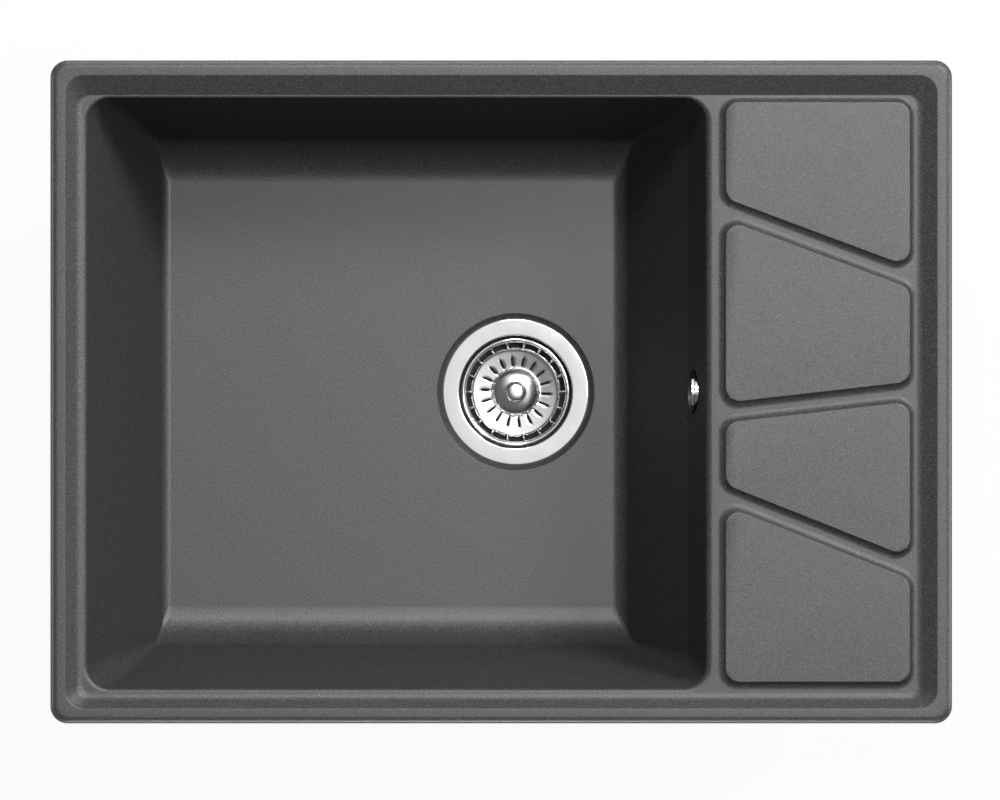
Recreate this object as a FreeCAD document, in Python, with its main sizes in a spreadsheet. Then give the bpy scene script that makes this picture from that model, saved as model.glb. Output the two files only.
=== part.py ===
import FreeCAD, Part
import math
import os
import re
import Sketcher

# An inset kitchen sink with drainboard, cast in granite composite: one bowl on the left,
# a drainboard with four raised plateaus on the right, a basket strainer waste, an
# overflow and the clips under the rim. Millimetres. X runs from the bowl to the
# drainboard, Y to the back of the worktop, Z up. The origin is at the middle of the rim's
# outline, on the worktop's surface, where the underside of the rim rests.

SIZES = (
    # rim, slope and deck
    ("sink_length", "680", "rim outline along X"),
    ("sink_width", "500", "rim outline along Y"),
    ("rim_corner", "13", "corner radius of the rim outline"),
    ("rim_rise", "8", "rim top above the worktop"),
    ("rim_flat", "11", "width of the rim's flat top"),
    ("rim_round", "4", "radius over the rim's outer edge"),
    ("basin_corner", "20", "corner radius of the slope inside the rim"),
    ("basin_drop", "8", "deck below the rim top"),
    ("slope_left", "12", "run of the slope from rim to deck, left"),
    ("slope_right", "15.8", "the same, right"),
    ("slope_back", "15.4", "the same, back"),
    ("slope_front", "12", "the same, front"),
    ("slope_round", "3", "hollow radius along the slope's foot"),
    ("seat_width", "12", "width of the rim's underside on the worktop"),
    ("body_corner", "8", "corner radius of the body below the rim"),
    ("deck_wall", "9", "thickness of the deck"),
    # bowl
    ("ledge_left", "27", "rim outline to bowl lip, left"),
    ("ledge_back", "28", "rim outline to bowl lip, back"),
    ("ledge_front", "26", "rim outline to bowl lip, front"),
    ("bowl_length", "468", "bowl lip along X"),
    ("bowl_corner", "16", "radius of the bowl's four corners"),
    ("bowl_depth", "190", "deck to bowl floor"),
    ("draft_left", "55.6", "how far the left wall leans in at the floor"),
    ("draft_back", "34.4", "the same, back wall"),
    ("draft_front", "35.5", "the same, front wall"),
    ("draft_right", "61.5", "the same, right wall"),
    ("break_depth", "58", "depth down to which the right wall is steeper"),
    ("break_draft", "13", "how far the right wall leans in down to there"),
    ("floor_round", "10", "hollow radius around the floor"),
    ("lip_round", "4", "radius over the bowl lip"),
    ("bowl_wall", "8.5", "thickness of the bowl walls"),
    ("floor_wall", "10", "thickness of the bowl floor"),
    ("shell_corner", "24", "radius of the four corners outside"),
    # drainboard plateaus
    ("plateau_height", "3.5", "plateau above the deck"),
    ("plateau_run", "4.9", "run of a plateau's side wall"),
    ("plateau_corner", "12", "corner radius of a plateau"),
    ("plateau_step", "0.2", "upright step at a plateau's foot"),
    ("strip_width", "10.6", "bowl lip to plateau foot"),
    ("margin_right", "1", "plateau foot to the slope's foot, right"),
    ("margin_back", "1", "the same, back"),
    ("margin_front", "4.5", "the same, front"),
    ("channel_width", "7.2", "channel between two plateaus, foot to foot"),
    ("channel_one_left", "139.4", "middle of the back channel at its left end"),
    ("channel_one_right", "84.7", "the same, right end"),
    ("channel_two_left", "-16.1", "middle of the centre channel, left end"),
    ("channel_two_right", "0.6", "the same, right end"),
    ("channel_three_left", "-76.5", "middle of the front channel, left end"),
    ("channel_three_right", "-134.8", "the same, right end"),
    # waste hole
    ("waste_inset", "144", "bowl lip on the right to the waste axis"),
    ("recess_radius", "59.3", "recess in the bowl floor"),
    ("recess_depth", "2.4", "its depth"),
    ("hole_radius", "45", "waste hole"),
    ("boss_radius", "62", "boss under the floor"),
    ("boss_drop", "3", "its height"),
    # overflow hole
    ("overflow_drop", "43", "deck to overflow axis"),
    ("overflow_land_depth", "3.94", "how far the overflow's land is cut into the wall at its axis"),
    ("overflow_land_radius", "17", "radius of that land"),
    ("overflow_boss", "10", "land to the outside of the boss"),
    ("overflow_boss_radius", "22", "radius of the boss outside the wall"),
    ("overflow_hole_radius", "11.5", "overflow hole"),
    # clip bosses
    ("clip_x", "205", "clips at the back and front, each side of the middle"),
    ("clip_inset", "6", "screw axis from the body's side"),
    ("lug_width", "24", "boss for a clip, along the rim"),
    ("lug_reach", "18", "the same, across"),
    ("lug_height", "37", "the same, below the deck"),
    ("clip_hole_end", "2", "clip hole beyond its screw's end"),
    # waste flange, measured from the bowl floor and the waste axis
    ("flange_radius", "55.7", "waste flange"),
    ("flange_mouth", "43.5", "mouth of the cup inside it"),
    ("sheet", "1.2", "sheet that the flange and cup are pressed from"),
    ("seat_depth", "31", "bowl floor to the cup's spokes"),
    ("spoke_width", "7", "spokes across the cup's foot"),
    ("hub_radius", "9", "their hub"),
    # waste body under the floor
    ("body_seal_height", "3", "seal between the body and the sink"),
    ("collar_radius", "60", "collar of the waste body"),
    ("collar_height", "4", "its thickness"),
    ("chamber_radius", "49", "inside of the chamber"),
    ("chamber_depth", "58", "bowl floor to the chamber's floor"),
    ("body_wall", "3", "moulded walls"),
    ("outlet_radius", "23.9", "outlet spigot, outside"),
    ("outlet_wall", "3.9", "its wall"),
    ("outlet_length", "36", "its length"),
    ("outlet_shoulder", "1.9", "step from the spigot to its neck in the chamber's floor"),
    ("screw_radius", "2.9", "centre screw"),
    ("screw_length", "20", "its shank"),
    ("screw_head_radius", "6", "its head"),
    ("screw_head_height", "4", "height of the head"),
    ("nut_radius", "5.8", "nut in the bridge, across its corners by half"),
    ("nut_height", "5", "its height"),
    ("bridge_depth", "38", "bowl floor to the bridge across the chamber"),
    ("bridge_height", "14", "its height"),
    ("bridge_width", "15", "its width"),
    # overflow branch and pipe
    ("branch_drop", "34", "bowl floor to the branch axis"),
    ("branch_radius", "12", "sockets for the pipe, outside"),
    ("branch_rise", "22", "branch axis to the top of its upright socket"),
    ("pipe_radius", "9", "overflow pipe"),
    ("pipe_bore", "7.5", "its bore"),
    ("socket_length", "14", "depth of the sockets"),
    ("pipe_setback", "2", "pipe's end to the bottom of its socket"),
    ("washer_height", "4", "rubber washer at a socket's mouth"),
    ("nut_flats", "17", "compression nut, across its corners by half"),
    ("nut_grip", "9", "how far a nut reaches over its socket"),
    ("nut_cap", "2.8", "cap of a nut"),
    # overflow fitting in the bowl's right wall
    ("cover_radius", "15", "overflow cover"),
    ("cover_plate", "1.9", "its thickness"),
    ("cover_gap", "0.7", "gap between the cover and its ring"),
    ("cover_foot", "3", "width of the cover's feet"),
    ("ring_radius", "12.3", "overflow ring"),
    ("ring_plate", "2.8", "its thickness"),
    ("ring_opening", "8", "its opening"),
    ("cover_screw_radius", "2.4", "screw through the cover"),
    ("cover_screw_head", "4.6", "its head"),
    ("cover_screw_length", "31", "its length"),
    ("wall_seal_height", "3", "seal outside the wall"),
    ("elbow_flange_radius", "20", "elbow's flange"),
    ("elbow_flange_height", "3.5", "its thickness"),
    ("elbow_radius", "14", "elbow, outside"),
    ("elbow_length", "31", "its length"),
    ("elbow_axis", "17", "flange face to the axis of the leg that points down"),
    ("elbow_leg", "34", "overflow axis to that leg's end"),
    ("elbow_boss_radius", "5.5", "boss for the screw"),
    ("elbow_boss_length", "20", "its length"),
    # basket
    ("basket_radius", "40.5", "basket rim"),
    ("basket_top", "2.6", "bowl floor to the rim's top"),
    ("bead_width", "2.3", "rolled rim"),
    ("bead_height", "2.2", "its height"),
    ("basket_sheet", "0.8", "sheet that the basket is pressed from"),
    ("basket_foot_radius", "34.6", "foot of the basket's wall"),
    ("basket_foot_depth", "18", "bowl floor to that foot and the basket's floor"),
    ("window_count", "18", "windows and slots"),
    ("window_width", "10", "side window"),
    ("window_top", "6.2", "bowl floor to the windows' top"),
    ("window_foot", "16.4", "bowl floor to the windows' foot"),
    ("window_turn", "10", "first window from the X axis, degrees"),
    ("slot_turn", "-4", "first slot from the X axis, degrees"),
    ("slot_inner", "20", "floor slot's inner end"),
    ("slot_outer", "26.4", "its outer end"),
    ("slot_width", "2.3", "its width"),
    ("knob_radius", "18.5", "knob"),
    ("knob_height", "11", "knob above the basket's floor"),
    ("nub_radius", "7.4", "nub on the knob"),
    ("nub_height", "3", "its height"),
    ("stem_radius", "3", "stem"),
    ("stem_head_radius", "5.5", "flange of the stem under the plug"),
    ("stem_head_height", "1.9", "its thickness"),
    ("stem_grip", "8", "thread of the stem in the knob"),
    ("plug_radius", "43.2", "rubber plug, a little less than the cup"),
    ("plug_drop", "4", "basket's floor to the plug"),
    ("plug_height", "3", "thickness of the plug"),
    # clips
    ("clip_gap", "0.3", "play above and below a clip"),
    ("clip_sheet", "2.5", "sheet of a clip"),
    ("clip_width", "10", "its width"),
    ("clip_slot", "8", "length of its slot for the screw"),
    ("clip_tail", "6", "screw axis to its short end"),
    ("clip_arm", "44", "screw axis to the claw"),
    ("claw_width", "8", "width of the claw"),
    ("claw_height", "18", "claw above the boss's underside"),
    ("gusset_run", "12", "stiffening web behind the claw"),
    ("clip_screw_radius", "2.5", "clip screw"),
    ("clip_screw_head", "5", "its hexagon head, across corners by half"),
    ("clip_screw_head_height", "4", "height of the head"),
    ("clip_screw_grip", "10", "thread in the boss"),
    ("fit_play", "0.1", "play between pieces that fit into each other"),
    ("hole_play", "0.5", "play of a screw in its clearance hole"),
)

NAMES = {name for name, value, meaning in SIZES}

# Places worked out from the sizes.
DECK = "(rim_rise - basin_drop)"
SLOPE_LEFT = "(-sink_length / 2 + rim_flat + slope_left)"
SLOPE_RIGHT = "(sink_length / 2 - rim_flat - slope_right)"
SLOPE_FRONT = "(-sink_width / 2 + rim_flat + slope_front)"
SLOPE_BACK = "(sink_width / 2 - rim_flat - slope_back)"
BOWL_LEFT = "(-sink_length / 2 + ledge_left)"
BOWL_RIGHT = "(-sink_length / 2 + ledge_left + bowl_length)"
WASTE_X = f"({BOWL_RIGHT} - waste_inset)"
WALL_AT_OVERFLOW = f"({BOWL_RIGHT} - break_draft * overflow_drop / break_depth)"
LAND_X = f"({WALL_AT_OVERFLOW} + overflow_land_depth)"
BOWL_FRONT = "(-sink_width / 2 + ledge_front)"
BOWL_BACK = "(sink_width / 2 - ledge_back)"
FLOOR = f"({DECK} - bowl_depth)"
DECK_BOTTOM = f"({DECK} - deck_wall)"
LUG_BOTTOM = f"({DECK_BOTTOM} - lug_height)"
OVERFLOW_Z = f"({DECK} - overflow_drop)"
CLIP_SIDE = "(sink_length / 2 - seat_width - clip_inset)"
CLIP_BACK = "(sink_width / 2 - seat_width - clip_inset)"

# Each clip's name, its screw's place and the angle at rest, when its arm lies along the rim.
CLIPS = (
    ("back_left", "-clip_x", CLIP_BACK, -90),
    ("back_right", "clip_x", CLIP_BACK, -90),
    ("right", CLIP_SIDE, "0", 180),
    ("front_right", "clip_x", f"-{CLIP_BACK}", 90),
    ("front_left", "-clip_x", f"-{CLIP_BACK}", 90),
    ("left", f"-{CLIP_SIDE}", "0", 0),
)

doc = FreeCAD.newDocument("KitchenSink")
sheet = doc.addObject("Spreadsheet::Sheet", "Sizes")
for row, (name, value, meaning) in enumerate(SIZES, start=1):
    sheet.set(f"A{row}", name)
    sheet.set(f"B{row}", value)
    sheet.setAlias(f"B{row}", name)
    sheet.set(f"C{row}", meaning)
doc.recompute()

gauge = doc.addObject("App::FeaturePython", "Gauge")
gauge.addProperty("App::PropertyFloat", "Reading")


def formula(text):
    """The text as an expression, its size names looked up in the sheet."""
    return re.sub("[a-z_]+", lambda word: f"Sizes.{word[0]}" if word[0] in NAMES else word[0], text)


def number(text):
    """What a formula comes to now, so that a sketch is drawn on its solution."""
    gauge.setExpression("Reading", formula(text))
    gauge.recompute()
    return gauge.Reading


# --- sketches -------------------------------------------------------------------------


def origin_part(body, role):
    """A plane or axis of the body's own origin."""
    return next(item for item in body.Origin.OriginFeatures if item.Role == role)


def new_sketch(body, name, plane="XY_Plane", offset="0"):
    """A sketch on one of the body's planes, moved along that plane's normal."""
    sketch = body.newObject("Sketcher::SketchObject", name)
    sketch.AttachmentSupport = [(origin_part(body, plane), "")]
    sketch.MapMode = "FlatFace"
    sketch.setExpression("AttachmentOffset.Base.z", formula(offset))
    return sketch


def set_size(sketch, kind, ends, text):
    """A dimension of the sketch that follows a formula."""
    index = sketch.addConstraint(Sketcher.Constraint(kind, *ends, number(text)))
    sketch.setExpression(f"Constraints[{index}]", formula(text))


def pin_point(sketch, item, end, x, y):
    """Holds one point of the sketch at two formulas."""
    set_size(sketch, "DistanceX", (-1, 1, item, end), x)
    set_size(sketch, "DistanceY", (-1, 1, item, end), y)


def polygon(sketch, corners):
    """A closed outline of straight lines through corners given as formulas."""
    points = [FreeCAD.Vector(number(x), number(y), 0) for x, y in corners]
    ends = points[1:] + points[:1]
    lines = sketch.addGeometry([Part.LineSegment(a, b) for a, b in zip(points, ends)])
    for line, following in zip(lines, lines[1:] + lines[:1]):
        sketch.addConstraint(Sketcher.Constraint("Coincident", line, 2, following, 1))
    for line, (x, y) in zip(lines, corners):
        pin_point(sketch, line, 1, x, y)


def corner_arc(before, corner, after, radius):
    """The arc that rounds a corner, from its first tangent point to its second."""
    back = (before - corner).normalize()
    ahead = (after - corner).normalize()
    half = back.getAngle(ahead) / 2
    middle = (back + ahead).normalize()
    centre = corner + middle * (radius / math.sin(half))
    reach = radius / math.tan(half)
    return Part.Arc(corner + back * reach, centre - middle * radius, corner + ahead * reach)


def rounded_polygon(sketch, corners, radius):
    """A closed outline, counterclockwise, each corner rounded to the same radius."""
    points = [FreeCAD.Vector(number(x), number(y), 0) for x, y in corners]
    size = number(radius)
    arcs = [
        corner_arc(points[i - 1], points[i], points[(i + 1) % len(points)], size)
        for i in range(len(points))
    ]
    rounds = sketch.addGeometry(arcs)
    lines = sketch.addGeometry(
        [Part.LineSegment(a.EndPoint, b.StartPoint) for a, b in zip(arcs, arcs[1:] + arcs[:1])]
    )
    marks = sketch.addGeometry([Part.Point(point) for point in points], True)
    for i, line in enumerate(lines):
        following = (i + 1) % len(lines)
        sketch.addConstraint(Sketcher.Constraint("Tangent", rounds[i], 2, line, 1))
        sketch.addConstraint(Sketcher.Constraint("Tangent", line, 2, rounds[following], 1))
        sketch.addConstraint(Sketcher.Constraint("PointOnObject", marks[i], 1, line))
        sketch.addConstraint(Sketcher.Constraint("PointOnObject", marks[following], 1, line))
    for mark, (x, y) in zip(marks, corners):
        pin_point(sketch, mark, 1, x, y)
    for item in rounds[1:]:
        sketch.addConstraint(Sketcher.Constraint("Equal", rounds[0], item))
    set_size(sketch, "Radius", (rounds[0],), radius)


def rectangle(left, right, front, back):
    """The corners of a rectangle, counterclockwise."""
    return [(left, front), (right, front), (right, back), (left, back)]


def circle(sketch, x, y, radius):
    """A circle at a point given by formulas."""
    centre = FreeCAD.Vector(number(x), number(y), 0)
    item = sketch.addGeometry(Part.Circle(centre, FreeCAD.Vector(0, 0, 1), number(radius)))
    pin_point(sketch, item, 3, x, y)
    set_size(sketch, "Radius", (item,), radius)


# --- features -------------------------------------------------------------------------


def new_body(name):
    """A sub-part, whose label names its file."""
    body = doc.addObject("PartDesign::Body", name)
    body.Label = name
    return body


def extrude(body, kind, name, sketch, length, flip=False):
    """A Pad or Pocket of a sketch."""
    made = body.newObject(f"PartDesign::{kind}", name)
    made.Profile = sketch
    made.Reversed = flip
    made.setExpression("Length", formula(length))
    doc.recompute()
    return made


def wedge(body, kind, name, high, low, top, foot):
    """A four-sided solid between a level rectangle at one height and another below it."""
    made = body.newObject(f"PartDesign::{kind}Wedge", name)
    made.Placement.Rotation = FreeCAD.Rotation(FreeCAD.Vector(1, 0, 0), -90)
    sides = dict(zip(("Xmin", "Xmax", "Zmin", "Zmax"), top))
    sides.update(zip(("X2min", "X2max", "Z2min", "Z2max"), foot))
    sides.update(Ymin=f"-({high})", Ymax=f"-({low})")
    for side, text in sides.items():
        setattr(made, side, number(text))
        made.setExpression(side, formula(text))
    doc.recompute()
    return made


def round_edges(body, name, base, radius, chosen):
    """A Fillet of the edges that the test picks."""
    edges = [f"Edge{i}" for i, edge in enumerate(base.Shape.Edges, start=1) if chosen(edge)]
    made = body.newObject("PartDesign::Fillet", name)
    made.Base = (base, edges)
    made.setExpression("Radius", formula(radius))
    doc.recompute()
    return made


def slant_edges(body, name, base, chosen):
    """A Chamfer that turns the picked edges' upright sides into slopes, down to a low step."""
    edges = [f"Edge{i}" for i, edge in enumerate(base.Shape.Edges, start=1) if chosen(edge)]
    made = body.newObject("PartDesign::Chamfer", name)
    made.Base = (base, edges)
    made.ChamferType = "Two distances"
    made.setExpression("Size", formula("plateau_height - plateau_step"))
    made.setExpression("Size2", formula("plateau_run"))
    doc.recompute()
    return made


def inside(low, high, left, right, front, back):
    """A test for edges that lie inside a box given by formulas."""
    z0, z1, x0, x1, y0, y1 = (number(text) for text in (low, high, left, right, front, back))
    margin = 0.01

    def chosen(edge):
        box = edge.BoundBox
        within_x = box.XMin > x0 - margin and box.XMax < x1 + margin
        within_y = box.YMin > y0 - margin and box.YMax < y1 + margin
        return within_x and within_y and box.ZMin > z0 - margin and box.ZMax < z1 + margin

    return chosen


def rising(heights, *sides):
    """A test for edges inside a box that run from one of its heights to another."""
    boxed = inside(heights[0], heights[-1], *sides)
    levels = [number(height) for height in heights]

    def chosen(edge):
        low, high = edge.BoundBox.ZMin, edge.BoundBox.ZMax
        ends = [min(abs(end - level) for level in levels) for end in (low, high)]
        return boxed(edge) and high - low > 0.5 and max(ends) < 0.01

    return chosen


def bordering(height, *sides):
    """A test for level edges inside a rectangle that touch its border."""
    level = inside(height, height, *sides)
    within = inside(height, height, *[f"{side} {way} 0.1" for side, way in zip(sides, "+-+-")])
    return lambda edge: level(edge) and not within(edge)


# --- the moulding ---------------------------------------------------------------------


def bowl_sides(share, right_draft, grow):
    """The bowl's left, right, front and back at a share of its depth, grown for its outside."""
    return (
        f"{BOWL_LEFT} + draft_left * ({share}) - {grow}",
        f"{BOWL_RIGHT} - {right_draft} + {grow}",
        f"{BOWL_FRONT} + draft_front * ({share}) - {grow}",
        f"{BOWL_BACK} - draft_back * ({share}) + {grow}",
    )


def bowl_solid(body, name, depth, grow, corner):
    """The bowl's space, or its outside: two stages with rounded corners, and a test for its foot."""
    lip = bowl_sides("0", "0", grow)
    middle = bowl_sides("break_depth / bowl_depth", "break_draft", grow)
    slope = "(draft_right - break_draft) / (bowl_depth - break_depth)"
    foot_draft = f"(break_draft + {slope} * ({depth} - break_depth))"
    foot = bowl_sides(f"{depth} / bowl_depth", foot_draft, grow)
    low = f"({DECK} - {depth})"
    change = f"({DECK} - break_depth)"
    wedge(body, "Additive", f"{name}_upper", DECK, change, lip, middle)
    lower = wedge(body, "Additive", f"{name}_lower", change, low, middle, foot)
    upright = rising((low, change, DECK_BOTTOM, DECK), *lip)
    corners = round_edges(body, f"{name}_corners", lower, corner, upright)
    return corners, inside(low, low, *lip)


def bowl_space():
    """The solid that is taken out of the moulding."""
    body = new_body("bowl_space")
    corners, foot = bowl_solid(body, "space", "bowl_depth", "0", "bowl_corner")
    round_edges(body, "floor_hollow", corners, "floor_round", foot)
    return body


def lug_outlines(sketch):
    """The six clip bosses, their outer sides flush with the body below the rim."""
    side = "(sink_length / 2 - seat_width)"
    back = "(sink_width / 2 - seat_width)"
    half = "lug_width / 2"
    for x in ("clip_x", "-clip_x"):
        polygon(sketch, rectangle(f"{x} - {half}", f"{x} + {half}", f"{back} - lug_reach", back))
        polygon(sketch, rectangle(f"{x} - {half}", f"{x} + {half}", f"-{back}", f"-{back} + lug_reach"))
    polygon(sketch, rectangle(f"{side} - lug_reach", side, f"-{half}", half))
    polygon(sketch, rectangle(f"-{side}", f"-{side} + lug_reach", f"-{half}", half))


def plateau_edge(channel, side, sign):
    """Where a channel's edge meets the left or right end of the plateaus."""
    length = f"({SLOPE_RIGHT} - margin_right - {BOWL_RIGHT} - strip_width)"
    rise = f"((channel_{channel}_right - channel_{channel}_left) / {length})"
    half = f"(channel_width / 2 * sqrt(1 + {rise} * {rise}))"
    return f"channel_{channel}_{side} {sign} {half}"


def plateau_outlines(sketch):
    """The four plateaus' feet, between slanting channels."""
    left = f"({BOWL_RIGHT} + strip_width)"
    right = f"({SLOPE_RIGHT} - margin_right)"
    back = f"({SLOPE_BACK} - margin_back)"
    front = f"({SLOPE_FRONT} + margin_front)"
    tops = [(back, back)]
    bottoms = []
    for channel in ("one", "two", "three"):
        bottoms.append([plateau_edge(channel, side, "+") for side in ("left", "right")])
        tops.append([plateau_edge(channel, side, "-") for side in ("left", "right")])
    bottoms.append([front, front])
    for (top_left, top_right), (bottom_left, bottom_right) in zip(tops, bottoms):
        corners = [(left, bottom_left), (right, bottom_right), (right, top_right), (left, top_left)]
        rounded_polygon(sketch, corners, "plateau_corner")


def sink_moulding():
    body = new_body("sink_moulding")

    outline = new_sketch(body, "rim_outline")
    sides = rectangle("-sink_length / 2", "sink_length / 2", "-sink_width / 2", "sink_width / 2")
    rounded_polygon(outline, sides, "rim_corner")
    rim = extrude(body, "Pad", "rim", outline, "rim_rise")
    sides = [f"{sign}sink_{size}" for size in ("length", "width") for sign in ("-", "")]
    round_edges(body, "rim_edge", rim, "rim_round", inside("rim_rise", "rim_rise", *sides))

    outline = new_sketch(body, "body_outline")
    half_length = "(sink_length / 2 - seat_width)"
    half_width = "(sink_width / 2 - seat_width)"
    sides = rectangle(f"-{half_length}", half_length, f"-{half_width}", half_width)
    rounded_polygon(outline, sides, "body_corner")
    extrude(body, "Pad", "deck", outline, f"-{DECK_BOTTOM}", flip=True)

    bowl_solid(body, "shell", "(bowl_depth + floor_wall)", "bowl_wall", "shell_corner")

    outline = new_sketch(body, "lug_outlines", offset=DECK_BOTTOM)
    lug_outlines(outline)
    extrude(body, "Pad", "lugs", outline, "lug_height", flip=True)

    outline = new_sketch(body, "waste_boss_outline", offset=f"{FLOOR} - floor_wall")
    circle(outline, WASTE_X, "0", "boss_radius")
    extrude(body, "Pad", "waste_boss", outline, "boss_drop", flip=True)

    outline = new_sketch(body, "overflow_boss_outline", "YZ_Plane", LAND_X)
    circle(outline, "0", OVERFLOW_Z, "overflow_boss_radius")
    extrude(body, "Pad", "overflow_boss", outline, "overflow_boss")

    half_length = "(sink_length / 2 - rim_flat)"
    half_width = "(sink_width / 2 - rim_flat)"
    top = (f"-{half_length}", half_length, f"-{half_width}", half_width)
    foot = (SLOPE_LEFT, SLOPE_RIGHT, SLOPE_FRONT, SLOPE_BACK)
    wedge(body, "Subtractive", "basin", "rim_rise", DECK, top, foot)
    outline = new_sketch(body, "plateau_feet", offset=DECK)
    plateau_outlines(outline)
    plateaus = extrude(body, "Pad", "plateaus", outline, "plateau_height")
    height = f"({DECK} + plateau_height)"
    board = (BOWL_RIGHT, SLOPE_RIGHT, SLOPE_FRONT, SLOPE_BACK)
    slanted = slant_edges(body, "plateau_sides", plateaus, inside(height, height, *board))
    slanting = rising((DECK, "rim_rise"), *top)
    corners = round_edges(body, "basin_corners", slanted, "basin_corner", slanting)
    round_edges(body, "slope_hollow", corners, "slope_round", bordering(DECK, *foot))

    bowl = body.newObject("PartDesign::Boolean", "bowl")
    bowl.Type = "Cut"
    bowl.setObjects([bowl_space()])
    doc.recompute()
    round_edges(body, "bowl_lip", bowl, "lip_round", inside(DECK, DECK, *bowl_sides("0", "0", "0")))

    outline = new_sketch(body, "recess_outline", offset=FLOOR)
    circle(outline, WASTE_X, "0", "recess_radius")
    extrude(body, "Pocket", "waste_recess", outline, "recess_depth")
    outline = new_sketch(body, "hole_outline", offset=FLOOR)
    circle(outline, WASTE_X, "0", "hole_radius")
    extrude(body, "Pocket", "waste_hole", outline, "floor_wall + boss_drop")

    outline = new_sketch(body, "land_outline", "YZ_Plane", LAND_X)
    circle(outline, "0", OVERFLOW_Z, "overflow_land_radius")
    extrude(body, "Pocket", "overflow_land", outline, "overflow_land_radius")
    outline = new_sketch(body, "overflow_hole_outline", "YZ_Plane", f"{LAND_X} + overflow_boss")
    circle(outline, "0", OVERFLOW_Z, "overflow_hole_radius")
    extrude(body, "Pocket", "overflow_hole", outline, "overflow_boss")

    outline = new_sketch(body, "clip_hole_outlines", offset=LUG_BOTTOM)
    for name, x, y, angle in CLIPS:
        circle(outline, x, y, "clip_screw_radius + fit_play")
    extrude(body, "Pocket", "clip_holes", outline, "clip_screw_grip + clip_hole_end", flip=True)
    return body


# --- turned and pressed pieces ---------------------------------------------------------


def place(body, x="0", y="0", z="0"):
    """Puts a sub-part's own origin at a point."""
    for axis, text in zip("xyz", (x, y, z)):
        body.setExpression(f"Placement.Base.{axis}", formula(text))


def waste_body_at(name):
    """A sub-part whose origin is on the waste axis, at the bowl floor."""
    body = new_body(name)
    place(body, x=WASTE_X, z=FLOOR)
    return body


def overflow_body_at(name, x):
    """A sub-part whose origin is on the overflow's axis."""
    body = new_body(name)
    place(body, x=x, z=OVERFLOW_Z)
    return body


def turned(body, name, corners, axis="V_Axis"):
    """A Revolution of an outline on the XZ plane about an axis of its sketch."""
    sketch = new_sketch(body, f"{name}_outline", "XZ_Plane")
    polygon(sketch, corners)
    made = body.newObject("PartDesign::Revolution", name)
    made.Profile = sketch
    made.ReferenceAxis = (sketch, [axis])
    made.Angle = 360
    doc.recompute()
    return made


SEAT_Z = "(-seat_depth)"
FLANGE_UNDER = "(-recess_depth)"
SEAL_Z = "(-floor_wall - boss_drop)"
COLLAR_Z = f"({SEAL_Z} - body_seal_height)"
BRANCH_Z = "(-branch_drop)"
ELBOW_FACE = f"({LAND_X} + overflow_boss + wall_seal_height)"
PIPE_X = f"({ELBOW_FACE} + elbow_axis)"
BRANCH_X = f"({PIPE_X} - {WASTE_X})"


def waste_flange():
    """The pressed ring and cup: a flat flange, an upright cup and spokes across its foot."""
    body = waste_body_at("waste_flange")
    corners = [
        ("flange_radius", FLANGE_UNDER),
        ("flange_radius", f"{FLANGE_UNDER} + sheet"),
        ("flange_mouth", f"{FLANGE_UNDER} + sheet"),
        ("flange_mouth", f"{SEAT_Z} - sheet"),
        ("flange_mouth + sheet", f"{SEAT_Z} - sheet"),
        ("flange_mouth + sheet", FLANGE_UNDER),
    ]
    turned(body, "flange_and_cup", corners)
    reach = "(flange_mouth + sheet / 2)"
    half = "spoke_width / 2"
    for name, sides in (
        ("spoke_one", rectangle(f"-{reach}", reach, f"-{half}", half)),
        ("spoke_two", rectangle(f"-{half}", half, f"-{reach}", reach)),
    ):
        outline = new_sketch(body, f"{name}_outline", offset=SEAT_Z)
        polygon(outline, sides)
        extrude(body, "Pad", name, outline, "sheet", flip=True)
    outline = new_sketch(body, "hub_outline", offset=SEAT_Z)
    circle(outline, "0", "0", "hub_radius")
    extrude(body, "Pad", "hub", outline, "sheet", flip=True)
    outline = new_sketch(body, "screw_hole_outline", offset=SEAT_Z)
    circle(outline, "0", "0", "screw_radius + hole_play")
    extrude(body, "Pocket", "screw_hole", outline, "sheet")
    return body


def body_seal():
    """The flat ring between the waste body and the sink."""
    body = waste_body_at("body_seal")
    corners = rectangle("chamber_radius + hole_play", "collar_radius", COLLAR_Z, SEAL_Z)
    turned(body, "seal", corners)
    return body


def centre_screw():
    """The screw that draws flange and body together."""
    body = waste_body_at("centre_screw")
    corners = [
        ("0", f"{SEAT_Z} - screw_length"),
        ("screw_radius", f"{SEAT_Z} - screw_length"),
        ("screw_radius", SEAT_Z),
        ("screw_head_radius", SEAT_Z),
        ("screw_head_radius", f"{SEAT_Z} + screw_head_height"),
        ("0", f"{SEAT_Z} + screw_head_height"),
    ]
    turned(body, "screw", corners)
    return body


def hexagon(radius):
    """The corners of a hexagon about the origin."""
    half = f"({radius}) / 2"
    rise = f"({radius}) * sqrt(3) / 2"
    return [
        (radius, "0"),
        (half, rise),
        (f"-{half}", rise),
        (f"-({radius})", "0"),
        (f"-{half}", f"-{rise}"),
        (half, f"-{rise}"),
    ]


NUT_Z = "(-bridge_depth - bridge_height + nut_height)"


def screw_nut():
    """The nut in the foot of the waste body's bridge."""
    body = waste_body_at("screw_nut")
    outline = new_sketch(body, "nut_outline", offset=NUT_Z)
    polygon(outline, hexagon("nut_radius"))
    circle(outline, "0", "0", "screw_radius + fit_play")
    extrude(body, "Pad", "nut", outline, "nut_height", flip=True)
    return body


CHAMBER_FOOT = "(-chamber_depth - body_wall)"


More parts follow.
